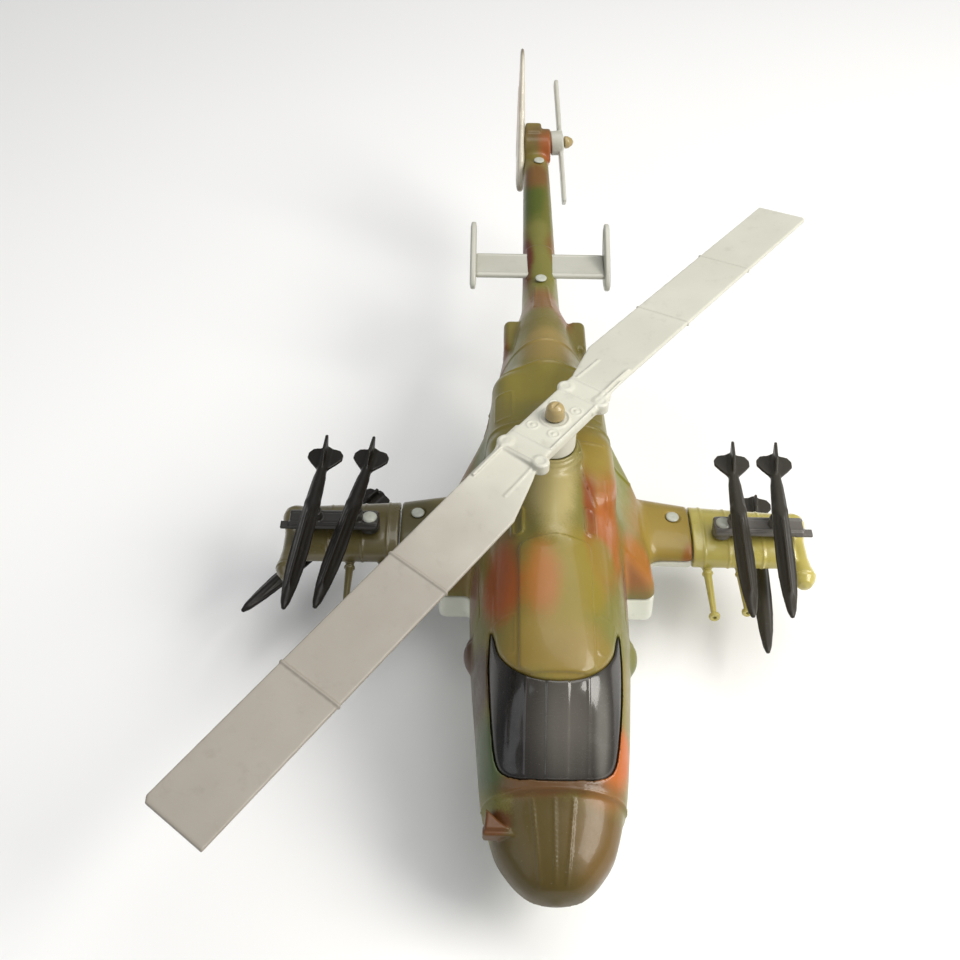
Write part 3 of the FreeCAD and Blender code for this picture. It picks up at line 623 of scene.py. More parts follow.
def add_flank_details(solid):
    """Shallow moulded door outline, vent slats, and a saddle and two ribs on the boom."""
    door = edge_of(rounded_patch((1, 2), (-43, 40), (13, 11), 2.5), 0.4)
    solid.sink_skin(Form(door, (-34, -60, 26), (34, -27, 54)), 0.45, 0.25)
    for y in range(40, 60, 4):
        slat = patch((1, 2), (y, 50), (0.7, 5))
        solid.raise_skin(Form(slat, (-32, y - 3, 42), (32, y + 3, 58)), 0.55, 0.4)
    saddle = patch((0, 1, 2), (0, 150, 66), (6.2, 12, 10))
    solid.raise_skin(Form(saddle, (-12, 132, 50), (12, 168, 70)), 0.45, 0.5)
    boom_rib = line((0, 1), (2.6, 129), (3.8, 108), 0.5)
    solid.raise_skin(either_side(Form(boom_rib, (0, 104, 56), (8, 134, 72))), 0.45, 0.4)


def whole_body():
    """Both fuselage halves as one field."""
    solid = Solid((-61, -150, body_low), (61, 260, body_high), hull_cell)
    solid.apply(lambda f, x, y, z: hull(x, y, z))
    solid.add(Form(fairing, (-50, -32, 6), (50, 42, 72)), 3)
    solid.add(Form(inner_wing, (-61, -12, 12), (61, 27, 40)), 4)
    add_cowl(solid)
    add_tail(solid)
    add_cowl_lines(solid)
    add_nose_lines(solid)
    add_sensor_wedge(solid)
    add_flank_details(solid)
    for x, y, z in peg_places.values():
        solid.cut(rod((x, y, z - 0.25), (x, y, z + 8), 3.3, round_off=0.2))
    return solid


def seam_of(x, y):
    """Joint height of the two halves; it rises a little along the wings and drops under the nose."""
    along = smooth_values(seam_height, y[0, :, 0])[None, :, None]
    wing_rise = wing_seam_rise * step_between(38, 46, np.abs(x))
    return along + wing_rise - nose_seam_drop * (1 - step_between(-125, -95, y))


glass_curve = rounded_outline(mirrored_outline(glass_outline))


def glass_plan(x, y, z):
    return outline_field(glass_curve, x, y)


def upper_shell(whole):
    """Painted half, with the opening that the canopy sits in."""
    upper = whole.layers(17, body_high)
    upper.keep(lambda x, y, z: seam_of(x, y) + seam_gap - z, 0.9)

    def opened(f, x, y, z):
        opening = np.maximum(glass_plan(x, y, z), glass_floor - z)
        return without(f, both(opening, -f - glass_ledge, 0.6), 0.9)
    upper.apply(opened, (-30, -122, 34), (30, -58, 80))
    return upper


def lower_shell(whole):
    """White belly with wheel legs, axle lugs and the flat pad."""
    lower = whole.layers(lowest[2], 60)
    lower.keep(lambda x, y, z: z - seam_of(x, y) + seam_gap, 0.9)
    y, z = main_axle_place
    leg = fused(rod((19, y, z), (25, y, z), 3.5, round_off=0.6), box((22, y, 3), (3, 3.5, 7), 0.6), 0.5)
    lower.add(either_side(leg), 1.2)
    y, z = nose_axle_place
    lug = fused(rod((2.9, y, z), (5.4, y, z), 2.9, round_off=0.5),
                box((4.15, y, -2.6), (1.25, 2.9, 5), 0.5), 0.5)
    lower.add(either_side(lug), 1)
    lower.add(box((0, 0, 1), (8, 15, 1), 0.3))
    return lower


def windscreen():
    """Smoked canopy set in the opening, with a raised band and faint folds."""
    solid = Solid((-26, -118, 32), (26, -62, 74), detail_cell)
    solid.apply(lambda f, x, y, z: hull(x, y, z) + glass_sunk)
    solid.raise_skin(Form(stripe(0, 0, 3.7)), 0.35, 0.5)
    solid.raise_skin(Form(edge_of(stripe(0, 0, 10.2), 0.3)), 0.16, 0.5)
    solid.keep(lambda x, y, z: glass_plan(x, y, z) + 0.1, 1.2)
    solid.keep(lambda x, y, z: glass_floor + 0.3 - z, 0.5)
    return solid


# ---- wings, racks, missiles ----
def add_barrel(solid, x, tip):
    """Gun barrel with a band, a flared muzzle and its bore."""
    z = barrel_height
    solid.add(rod((x, -3, z), (x, tip, z), 1.8, 1.1), 1.2)
    solid.add(rod((x, tip + 0.8, z), (x, tip - 1, z), 2.2, round_off=0.4), 0.4)
    solid.add(ring((x, -8, z), 1, 1.7, 0.55), 0.3)
    solid.cut(rod((x, tip - 2, z), (x, tip + 1.5, z), 0.7), 0.3)


def wing_outer():
    """Outer wing panel with its tip pod, two gun barrels and the lower missile's peg, +X side."""
    solid = Solid((55, -33, 2), (110, 27, 36), wing_cell)
    start = wing_joint + wing_joint_gap
    across = stripe(0, (start + wing_end) / 2, (wing_end - start) / 2)
    solid.apply(lambda f, x, y, z: both(wing_bar(x, y, z), across(x, y, z), 1))
    for x in (start + 4.5, 72.5, 86):
        solid.raise_skin(Form(stripe(0, x, 0.45), (x - 3, -12, 14), (x + 3, 27, 36)), 0.35, 0.35)
    solid.add(turned(pod_profile, (pod_x, 0, pod_height), 1), 1.4)
    for y, radius in ((-12.4, 4.4), (14.5, 4.3)):
        solid.add(ring((pod_x, y, pod_height), 1, radius, 0.5), 0.3)
    for x, tip in barrels:
        add_barrel(solid, x, tip)
    x, y = lower_pivot
    solid.add(rod((x, y, 23), (x, y, 13.4), 3.6, 3), 1)
    solid.add(rod((x, y, 16), (x, y, lower_height - 1.3), 1.5), 0.3)
    return solid


def rack(pivots):
    """Crossbar over the wing with feet and a peg under each upper missile, +X side."""
    solid = Solid((61, -6, 31), (108, 12, 51), detail_cell)
    middle = (rack_low + rack_high) / 2
    y = rack_y
    solid.add(box((83.5, y, middle), (17.5, 4.4, middle - rack_low), 1), 0)
    solid.add(box((101, 0.4, rack_low + 0.9), (3.4, 1.8, 0.6), 0.3), 0.5)
    rails = edge_of(stripe(1, y, 2.9), 0.45)
    solid.raise_skin(Form(rails, (66, -4, rack_low + 1), (101, 10, rack_high + 3)), 0.4)
    solid.add(rod((rack_pin_x, y, rack_foot_low), (rack_pin_x, y, rack_high - 0.1), 3.9, round_off=0.6), 1)
    solid.add(rod((rack_foot_x, y, rack_foot_low), (rack_foot_x, y, middle), 3), 1)
    for x in pivots:
        solid.add(rod((x, y, middle), (x, y, pivot_boss_top), 3.2), 0.5)
        solid.add(rod((x, y, rack_high), (x, y, peg_top), 1.5), 0.2)
    return solid


def missile():
    """Black missile about its swivel point: long ogive nose, strakes, crest and tail fins."""
    solid = Solid((-10.5, -56, -8), (10.5, 36, 9), detail_cell)
    profile = [(-53, 0), (-52.4, 0.8), (-50, 1.5), (-44, 2), (-34, 2.4), (-20, 2.6), (-4, 2.6), (8, 2.4),
               (20, 2), (30.5, 1.8), (31, 1.3), (31, 0)]
    solid.add(turned(profile, (0, 0, 0), 1), 0)
    strake = [(0, -51.5), (1.4, -49), (2.7, -42), (3.4, -33), (3.6, -24), (3.4, -14), (3.1, -4), (2.8, 6),
              (2.3, 14), (0, 21)]
    tail = [(0, 18), (2.4, 19), (5.2, 22.2), (7.1, 24.8), (7.1, 27.5), (5.6, 29.8), (3.6, 30.4), (0, 30.8)]
    for half in (strake, tail):
        solid.add(slab(mirrored_outline(half), 2, -0.65, 0.65), 1.0)
    crest = [(-47, 0), (-42, 3.2), (-8, 3.7), (4, 0)]
    solid.add(slab(crest, 0, -0.55, 0.55), 1.0)
    upright = [(16, 0), (24, 6.1), (31.6, 6.9), (32.6, 6.3), (29.5, 0), (28.5, -5), (22, -4.6)]
    solid.add(slab(upright, 0, -0.6, 0.6), 0.7)
    solid.add(rod((0, 0, -3.3), (0, 0, 1.2), 2.5, round_off=0.8), 1.5)
    solid.cut(rod((0, 0, -8), (0, 0, 1.6), 1.56, round_off=0.1), 0.2)
    solid.cut(rod((0, 33, 0), (0, 29.6, 0), 1.0), 0.3)
    return solid


# ---- rotors ----
def blade_space(x, y, z):
    """Rotor coordinates folded onto one blade, with its droop and pitch taken out."""
    root = 9
    along = np.abs(x)
    across = y * np.where(x < 0, -1, 1)
    up = z + np.tan(rotor_droop) * np.maximum(along - root, 0)
    pitch = rotor_pitch * step_between(root, 34, along)
    return along, across * np.cos(pitch) - up * np.sin(pitch), across * np.sin(pitch) + up * np.cos(pitch)


def on_blade(field):
    return Form(lambda x, y, z: field(*blade_space(x, y, z)))


def add_hub(solid):
    """Hub plate with raised ring, grip bosses, folds and the skirt round the mast."""
    plate = [(-24, -8.8), (24, -8.8), (24, 8.4), (-24, 8.4)]
    solid.add(slab(plate, 2, -3.4, 0.9, 0.9), 0.8)
    for x, y in grips:
        solid.add(rod((x, y, -3.2), (x, y, 1.2), 3.1, round_off=0.6), 0.8)
        solid.add(ring((x, y, 1.15), 2, 2.0, 0.38), 0.3)
    for x, y in hub_bosses:
        solid.add(ring((x, y, 0.85), 2, 2.0, 0.34), 0.25)
        solid.add(ellipsoid((x, y, 0.9), (0.9, 0.9, 0.35)), 0.2)
    solid.add(ring((0, 0, 0.9), 2, 5.2, 0.5), 0.4)
    for x in (14.4, 22.3):
        solid.add(either_side(box((x, 0, 0.85), (0.35, 8, 0.4), 0.2)), 0.3)
    solid.add(box((9, -8.1, 0.9), (23.5, 0.45, 0.5), 0.25), 0.3)
    solid.add(rod((0, 0, -12.1), (0, 0, 0.4), 8.2, round_off=0.8), 0.8)
    solid.cut(rod((0, 0, -14), (0, 0, 8), 2.6, round_off=0.1), 0.2)


def main_rotor():
    """Two blades with creases and root ridges, and the hub, about the mast."""
    solid = Solid((-193, -22, -16), (193, 22, 9), rotor_cell)
    blade = on_blade(lambda a, b, up: rounded_corner(outline_field(blade_outline, a, b),
                                                     np.abs(up) - blade_half_depth, 0.5))
    solid.apply(lambda f, x, y, z: blade.field(x, y, z))
    for station in blade_creases:
        solid.raise_skin(on_blade(stripe(0, station, 0.45)), 0.5)
    solid.raise_skin(on_blade(patch((0, 1), (30, -6.4), (10.5, 0.55))), 0.85)
    solid.raise_skin(on_blade(patch((0, 1), (30, 7.2), (10.5, 0.5))), 0.35)
    add_hub(solid)
    return solid


def rotor_knob():
    """Slotted head and shank of the push-in rotor pin, about the mast."""
    solid = Solid((-5, -5, 56), (5, 5, 104), pin_cell)
    profile = [(96.5, 0), (96.5, 3.3), (97.2, 3.5), (100.2, 3.35), (101.4, 2.8), (102.3, 1.6), (102.5, 0)]
    solid.add(turned(profile, (0, 0, 0), 2), 0)
    solid.add(ring((0, 0, 97.2), 2, 3.1, 0.5), 0.3)
    solid.cut(box((0, 0, 102.7), (2.6, 0.45, 0.7), 0.2), 0.3)
    solid.add(rod((0, 0, 60), (0, 0, 97), 2.45), 0.2)
    return solid


def tail_rotor():
    """Two blades waisted at a round collar, about its own axis along X."""
    solid = Solid((-1, -34, -8), (9, 34, 8), fine_cell)
    edge = [(-32, 3.2), (-31, 4.2), (-8, 4.2), (-4.4, 3), (4.4, 3), (8, 4.2), (31, 4.2), (32, 3.2)]
    solid.add(slab(edge + [(a, -b) for a, b in reversed(edge)], 0, 5, 7.1, 0.7), 0)
    solid.add(rod((1, 0, 0), (7.4, 0, 0), 6.2, round_off=0.8), 0.8)
    solid.add(ring((7.2, 0, 0), 0, 3.6, 0.6), 0.3)
    for y in (-19, 19):
        solid.add(box((6.3, y, 0), (1.1, 8, 0.6), 0.4), 0.5)
    solid.cut(rod((0, 0, 0), (9, 0, 0), 1.66, round_off=0.1), 0.2)
    return solid


def tail_pin():
    """Round head and shank of the tail rotor's pin, along X."""
    solid = Solid((-9, -4.5, -4.5), (14, 4.5, 4.5), pin_cell)
    profile = [(8.2, 0), (8.2, 3), (9, 3.2), (10.4, 3), (12.4, 1.7), (13.2, 0)]
    solid.add(turned(profile, (0, 0, 0), 0), 0)
    solid.add(rod((-8, 0, 0), (9, 0, 0), 1.6), 0.2)
    return solid


# ---- tail planes ----
def tail_fin():
    """Swept fin, thick at the root and thin at the top, with two stiffening ribs."""
    solid = Solid((-14, 223, 33), (-2, 291, 109), wing_cell)
    outline = rounded_outline(fin_outline)

    def plate(f, x, y, z):
        flat = outline_field(outline, y, z)
        inward = np.clip(-flat / 9, 0, 1)
        thick = straight_values(z, (36, 60, 104), (2.3, 2.2, 1.15))
        thick = thick * (0.42 + 0.58 * np.sqrt(inward * (2 - inward)))
        return both(flat, np.abs(x - fin_x) - thick, 1.1)
    solid.apply(plate)
    for low, high in (((238, 64), (264, 90)), ((246, 58), (271, 84))):
        solid.raise_skin(Form(line((1, 2), low, high, 0.5)), 0.25)
    return solid


def stabiliser():
    """Flat plane across the boom, with a fine line along both edges."""
    solid = Solid((-32, 138, 53), (32, 162, 59.5), fine_cell)
    solid.add(box((0, stabiliser_y, 56.2), (30, 8.85, 1.1), 0.9), 0)
    lines = edge_of(stripe(1, stabiliser_y, 7.2), 0.4)
    solid.raise_skin(Form(lines, (-29, 138, 52), (29, 162, 60)), 0.22)
    return solid


def end_plate():
    """Swept plate on the stabiliser's tip with a line inside its outline, +X side."""
    solid = Solid((28.5, 133, 45), (33.5, 174, 76), fine_cell)
    outline = rounded_outline(end_plate_outline)
    solid.add(slab(outline, 0, 30, 32.4, 0.8), 0)
    solid.raise_skin(Form(lambda x, y, z: np.abs(outline_field(outline, y, z) + 2.2) - 0.4), 0.28)
    return solid


# ---- pegs, wheels, axles ----
def peg_cap(radius, height, shank, shank_radius):
    """Heat-staked peg with a dimple, about the point where its head meets the skin."""
    solid = Solid((-6, -6, -shank - 1), (6, 6, height + 1.5), small_cell)
    profile = [(0, 0), (0, radius - 0.1), (height * 0.4, radius), (height * 0.8, radius * 0.8), (height, 0)]
    solid.add(turned(profile, (0, 0, 0), 2), 0)
    solid.add(rod((0, 0, -shank), (0, 0, 0.4), shank_radius), 0.2)
    solid.cut(ellipsoid((0, 0, height + 0.5), (0.9, 0.9, 0.75)), 0.3)
    return solid


def wheel(radius, width, ridges):
    """Moulded wheel along X at its own origin, with a tread, a dished web and a bore."""
    reach = radius + 2
    half = width / 2
    solid = Solid((-half - 2, -reach, -reach), (half + 2, reach, reach), fine_cell)
    solid.add(rod((-half, 0, 0), (half, 0, 0), radius, round_off=1.1), 0)
    for side in (-1, 1):
        solid.cut(ring((side * (half + 0.6), 0, 0), 0, radius * 0.53, radius * 0.17))

    def tread(f, x, y, z):
        off = np.sqrt(y * y + z * z)
        turns = np.arctan2(z, y) / (2 * math.pi)
        from_groove = np.abs(turns * ridges % 1 - 0.5) * off * 2 * math.pi / ridges
        groove = np.maximum(from_groove - 0.35, radius - 0.45 - off)
        return without(f, groove, 0.2)
    solid.apply(tread)
    solid.cut(rod((-width, 0, 0), (width, 0, 0), 1.06, round_off=0.05), 0.1)
    return solid


def axle(half, head):
    """Steel wire along X with a head at each end."""
    solid = Solid((-half - 1.5, -3, -3), (half + 1.5, 3, 3), small_cell)
    solid.add(rod((-half, 0, 0), (half, 0, 0), 1), 0)
    for side in (-1, 1):
        solid.add(rod((side * half, 0, 0), (side * (half + head), 0, 0), 1.8, round_off=0.35), 0.1)
    return solid


# ---- materials ----
class Recipe:
    """Small helper that lays out shader nodes."""

    def __init__(self, name):
        self.material = bpy.data.materials.new(name)
        self.material.use_nodes = True
        self.tree = self.material.node_tree
        self.tree.nodes.clear()
        self.surface = self.node("BsdfPrincipled")
        self.node("OutputMaterial", self.surface.outputs[0])
        self.place = self.node("TexCoord").outputs["Object"]

    def node(self, kind, *inputs):
        """New node with its first inputs fed."""
        node = self.tree.nodes.new("ShaderNode" + kind)
        for socket, value in zip(node.inputs, inputs):
            self.feed(socket, value)
        return node

    def feed(self, socket, value):
        if isinstance(value, bpy.types.NodeSocket):
            self.tree.links.new(value, socket)
        else:
            socket.default_value = value

    def set(self, name, value):
        self.feed(self.surface.inputs[name], value)

    def stretched(self, scale):
        node = self.node("Mapping", self.place)
        node.inputs["Scale"].default_value = scale
        return node.outputs[0]

    def noise(self, scale, detail=3, rough=0.55, where=None):
        node = self.node("TexNoise", self.place if where is None else where)
        node.inputs["Scale"].default_value = scale
        node.inputs["Detail"].default_value = detail
        node.inputs["Roughness"].default_value = rough
        return node.outputs[0]

    def ranged(self, value, low, high, start=0.0, finish=1.0):
        node = self.node("MapRange", value, low, high, start, finish)
        node.interpolation_type = "SMOOTHSTEP"
        return node.outputs[0]

    def maths(self, kind, a, b):
        node = self.node("Math", a, b)
        node.operation = kind
        return node.outputs[0]

    def centred(self, noise, size):
        """Noise moved to swing about 0."""
        return self.maths("MULTIPLY", self.maths("SUBTRACT", noise, 0.5), size)

    def vector(self, kind, *inputs):
        node = self.node("VectorMath", *inputs)
        node.operation = kind
        return node.outputs["Value" if kind == "LENGTH" else 0]

    def mixed(self, amount, a, b, kind="MIX"):
        node = self.node("Mix")
        node.data_type = "RGBA"
        node.blend_type = kind
        self.feed(node.inputs[0], amount)
        self.feed(node.inputs[6], tuple(a) + (1,) if isinstance(a, tuple) else a)
        self.feed(node.inputs[7], tuple(b) + (1,) if isinstance(b, tuple) else b)
        return node.outputs[2]

    def painted(self, colour, patches, wobble=0.0):
        """Colour under soft ellipsoid patches: centre and radii in millimetres, paint, edge softness."""
        for centre, radii, paint, edge in patches:
            away = self.vector("SUBTRACT", self.place, tuple(c * metre for c in centre))
            away = self.vector("MULTIPLY", away, tuple(1 / (r * metre) for r in radii))
            distance = self.maths("ADD", self.vector("LENGTH", away), wobble)
            colour = self.mixed(self.ranged(distance, 1 + edge, 1 - edge), colour, paint)
        return colour

    def bump(self, height, strength, distance, base=None):
        node = self.node("Bump")
        node.inputs["Strength"].default_value = strength
        node.inputs["Distance"].default_value = distance
        self.feed(node.inputs["Height"], height)
        if base is not None:
            self.feed(node.inputs["Normal"], base)
        return node.outputs[0]


dust_colour = (0.55, 0.52, 0.44)
grime_colour = (0.10, 0.085, 0.06)
shaded_left_centre = (-85, 4, 25)            # centre of the shaded -X wing, where its mouldings get painted shade


def plastic(recipe, colour, rough, coat, grain=0.12, tone=0.10, wear=0.35):
    """Injection-moulded plastic: uneven tone, faint orange peel, scuffs, dust and fine scratches."""
    patchy = recipe.ranged(recipe.noise(28), 0.3, 0.7)
    darker = (1 - tone, 1 - tone * 1.05, 1 - tone * 1.2)
    base = recipe.mixed(1.0, colour, recipe.mixed(patchy, darker, (1.0, 1.0, 1.0)), "MULTIPLY")
    fleck = recipe.ranged(recipe.noise(900, 2), 0.68, 0.78)
    base = recipe.mixed(recipe.maths("MULTIPLY", fleck, 0.22 * wear), base, dust_colour)
    grime = recipe.ranged(recipe.noise(160, 5, 0.65), 0.55, 0.75)
    base = recipe.mixed(recipe.maths("MULTIPLY", grime, 0.35 * wear), base, grime_colour)
    scuffs = recipe.ranged(recipe.noise(90, 6, 0.7), 0.25, 0.75, max(rough - 0.07, 0.04), rough + 0.12)
    fine = recipe.ranged(recipe.noise(1, 4, 0.6, recipe.stretched((2600, 180, 1400))), 0.60, 0.66)
    cross = recipe.ranged(recipe.noise(1, 4, 0.6, recipe.stretched((240, 2400, 900))), 0.61, 0.67)
    scratches = recipe.maths("MULTIPLY", recipe.maths("MAXIMUM", fine, cross), 0.10)
    peel = recipe.bump(recipe.noise(420), grain, 0.0003)
    grit = recipe.bump(recipe.noise(2600, 2), grain * 0.8, 0.00006, peel)
    recipe.set("Base Color", base)
    recipe.set("Roughness", recipe.maths("ADD", scuffs, scratches))
    recipe.set("IOR", 1.49)
    recipe.set("Coat Weight", coat)
    recipe.set("Coat Roughness", 0.09)
    recipe.set("Normal", grit)
    return recipe.material


camouflage_base = (0.185, 0.146, 0.032)
camouflage_and_light_patches = [
    # centre, radii, colour, edge softness
    ((0, -142, 26), (28, 27, 34), (0.078, 0.054, 0.0105), 0.25),
    ((15, -130, 31), (11, 15, 14), (0.135, 0.078, 0.018), 0.5),
    ((17, -116, 37), (8, 6, 8), (0.215, 0.102, 0.026), 0.5),
    ((-5, -114, 41), (20, 4, 12), (0.104, 0.050, 0.0145), 0.35),
    ((-20.5, -124.5, 31.5), (6, 5, 5.5), (0.105, 0.040, 0.010), 0.2),
    ((-24, -103, 38), (8, 15, 15), (0.065, 0.092, 0.036), 0.45),
    ((-27, -79, 40), (8, 15, 16), (0.054, 0.0255, 0.005), 0.4),
    ((21, -105, 41), (8, 9, 11), (0.44, 0.110, 0.014), 0.4),
    ((24, -85, 46), (9, 11, 14), (0.194, 0.154, 0.027), 0.4),
    ((24, -72, 28), (10, 22, 10), (0.12, 0.135, 0.026), 0.5),
    ((0, -78, 66), (22, 12, 12), (0.233, 0.163, 0.034), 0.3),
    ((7, -54, 71), (13, 22, 10), (0.224, 0.170, 0.0205), 0.35),
    ((-4.5, -53, 71), (6.5, 14, 8), (0.32, 0.122, 0.022), 0.5),
    ((-18, -50, 62), (8.5, 15, 12), (0.33, 0.082, 0.012), 0.45),
    ((-31, -38, 44), (8, 13, 12), (0.16, 0.062, 0.040), 0.5),
    ((-28, -59, 33), (6, 9, 8), (0.075, 0.032, 0.012), 0.35),
    ((31, -40, 44), (8, 13, 12), (0.16, 0.062, 0.040), 0.5),
    ((19, -24, 64), (9, 25, 14), (0.34, 0.098, 0.013), 0.45),
    ((13, -18, 71), (2.8, 18, 9), (0.20, 0.050, 0.009), 0.5),
    ((17, -42, 67), (7, 9, 8), (0.233, 0.153, 0.021), 0.4),
    ((15, 6, 72), (8, 14, 8), (0.27, 0.195, 0.034), 0.5),
    ((36, -19, 40), (12, 11, 14), (0.337, 0.128, 0.021), 0.4),
    ((35, 10, 40), (12, 16, 14), (0.249, 0.144, 0.020), 0.45),
    ((27, 22, 54), (9, 24, 15), (0.175, 0.172, 0.012), 0.45),
    # the next two are paint patches on the -X shoulder and fairing, also darkened as painted shade
    ((-27, 6, 52), (11, 30, 18), (0.105, 0.124, 0.029), 0.45),
    ((-36, -8, 36), (12, 20, 14), (0.20, 0.122, 0.026), 0.4),
    # lighter olive on the gearbox hump, partly paint and partly a painted highlight
    ((0, -18, 79), (10, 20, 6), (0.37, 0.31, 0.13), 0.4),
    ((-2, 48, 75), (17, 20, 14), (0.223, 0.183, 0.0293), 0.35),
    ((0, 72, 75), (15, 13, 12), (0.268, 0.193, 0.0555), 0.4),
    ((0, 94, 58), (22, 12, 14), (0.175, 0.135, 0.030), 0.5),
    ((-20, 82, 58), (5, 14, 12), (0.17, 0.045, 0.010), 0.45),
    ((9, 106, 61), (5, 12, 7), (0.21, 0.080, 0.022), 0.5),
    ((0, 114, 62), (10, 12, 9), (0.196, 0.099, 0.031), 0.5),
    ((-7, 154, 57), (4.5, 22, 9), (0.105, 0.020, 0.004), 0.35),
    ((7, 165, 54), (5, 14, 8), (0.16, 0.077, 0.0126), 0.5),
    ((-2, 200, 58), (9, 18, 9), (0.070, 0.092, 0.006), 0.45),
    ((7, 192, 57), (5, 20, 8), (0.125, 0.118, 0.014), 0.5),
    ((0, 221, 63), (8, 10, 7), (0.157, 0.073, 0.0144), 0.5),
    ((0, 249, 62), (12, 9, 10), (0.125, 0.078, 0.024), 0.4),
    ((6, 245, 61), (6, 9, 10), (0.30, 0.080, 0.017), 0.4),
    ((48, 8, 28), (16, 19, 12), (0.29, 0.206, 0.039), 0.35),
    ((57, -6, 26), (3, 6, 7), (0.28, 0.11, 0.018), 0.4),
    # painted shade: deep olive over the -X inner wing
    ((-52, 8, 28), (15, 19, 12), (0.085, 0.072, 0.024), 0.35),
    ((-30, 40, 36), (8, 22, 12), (0.24, 0.076, 0.012), 0.5),
    ((30, 52, 38), (8, 18, 12), (0.12, 0.13, 0.021), 0.5),
]


def camouflage_paint():
    """Olive plastic with airbrushed orange, rust, green and yellow-olive patches under a glossy coat, plus a
    painted highlight on the gearbox hump and painted shade on the -X inner wing, shoulder and fairing.
    """
    recipe = Recipe("camouflage_paint")
    drift = recipe.centred(recipe.noise(45), 1.0)
    spray = recipe.centred(recipe.noise(1500, 2), 0.35)
    clouds = recipe.ranged(recipe.noise(22, 2), 0.35, 0.65)
    olive = recipe.mixed(clouds, camouflage_base, (0.165, 0.155, 0.032))
    colour = recipe.painted(olive, camouflage_and_light_patches, recipe.maths("ADD", drift, spray))
    recipe.set("Specular IOR Level", 0.32)
    return plastic(recipe, colour, 0.36, 0.20, grain=0.14, wear=0.30)


def fin_paint():
    """White plastic fin, oversprayed olive along its top and brown at the lower tip."""
    recipe = Recipe("fin_paint")
    patches = [((-8, 284, 104), (9, 13, 9), (0.19, 0.15, 0.09), 0.5),
               ((-8, 234, 40), (9, 12, 11), (0.13, 0.10, 0.05), 0.45),
               ((-10.5, 264, 78), (1.6, 20, 26), (0.65, 0.52, 0.41), 0.5)]
    colour = recipe.painted((0.595, 0.555, 0.45), patches, recipe.centred(recipe.noise(120), 0.6))
    return plastic(recipe, colour, 0.33, 0.3, tone=0.08, wear=0.4)


def rotor_plastic():
    """Satin cream plastic, painted greyer and browner on the near blade as painted shade."""
    recipe = Recipe("rotor_plastic")
    # painted shade: darker grey-brown over the near (-Y) blade
    shaded_near_blade = [((-110, -150, 88), (118, 158, 60), (0.29, 0.262, 0.222), 0.3)]
    colour = recipe.painted((0.585, 0.58, 0.50), shaded_near_blade, recipe.centred(recipe.noise(30), 0.3))
    return plastic(recipe, colour, 0.42, 0.12, grain=0.14, tone=0.07, wear=0.40)


def pod_plastic():
    """Yellow-olive plastic; the -X wing is painted darker and browner as painted shade."""
    recipe = Recipe("pod_plastic")
    # painted shade: deeper olive-brown over the -X wing
    shaded_left_pod = [(shaded_left_centre, (42, 45, 30), (0.112, 0.09, 0.029), 0.15)]
    colour = recipe.painted((0.48, 0.41, 0.10), shaded_left_pod, recipe.centred(recipe.noise(40), 0.3))
    return plastic(recipe, colour, 0.30, 0.45, grain=0.14, tone=0.16, wear=0.3)


def charcoal_plastic():
    """Near-black plastic; the -X missiles are painted blacker than the +X ones as painted shade."""
    recipe = Recipe("charcoal")
    # painted shade: blacker colour over the -X missiles
    black = [(shaded_left_centre, (42, 80, 60), (0.0085, 0.0068, 0.0048), 0.15)]
    recipe.set("Specular IOR Level", 0.24)
    colour = recipe.painted((0.040, 0.036, 0.029), black)
    return plastic(recipe, colour, 0.40, 0.08, grain=0.3, tone=0.2, wear=0.3)


def rack_plastic():
    """Plastic crossbars: grey as a painted reflection on the lit +X side, near black on the shaded -X side.
    """
    recipe = Recipe("rack_grey")
    # painted light and shade: near black on the shaded -X side, grey painted reflection elsewhere
    black = [(shaded_left_centre, (42, 45, 40), (0.020, 0.018, 0.015), 0.15)]
    colour = recipe.painted((0.125, 0.116, 0.104), black)
    return plastic(recipe, colour, 0.42, 0.15, grain=0.25, tone=0.2, wear=0.4)


def smoked_glass():
    """Near-black glossy canopy with painted brown-grey reflection streaks along it and two painted highlight
    bands.
    """
    recipe = Recipe("smoked_glass")
    # painted reflection streaks in the glass colour
    reflection_streak = recipe.noise(1, 2, 0.5, recipe.stretched((170, 12, 12)))
    colour = recipe.mixed(recipe.ranged(reflection_streak, 0.35, 0.65), (0.005, 0.004, 0.0035), (0.030, 0.026, 0.022))
    # painted highlights: a broad band in the middle and a narrow band on the +X side
    painted_highlights = [((3, -98, 52), (9, 18, 14), (0.105, 0.097, 0.083), 0.8),
              ((15, -99, 48), (2.4, 20, 14), (0.13, 0.125, 0.11), 0.6)]
    colour = recipe.painted(colour, painted_highlights, recipe.centred(reflection_streak, 0.9))
    recipe.set("Specular IOR Level", 0.3)
    return plastic(recipe, colour, 0.20, 0.45, tone=0.05)


def steel():
    """Brushed axle wire."""
    recipe = Recipe("axle_metal")
    brushed = recipe.noise(1, 4, 0.6, recipe.stretched((60, 3000, 3000)))
    grey = recipe.mixed(recipe.ranged(brushed, 0.3, 0.7), (0.42, 0.41, 0.40), (0.62, 0.61, 0.60))
    recipe.set("Base Color", grey)
    recipe.set("Metallic", 1.0)
    recipe.set("Roughness", recipe.ranged(brushed, 0.2, 0.8, 0.25, 0.45))
    recipe.set("Normal", recipe.bump(brushed, 0.2, 0.00005))
    return recipe.material


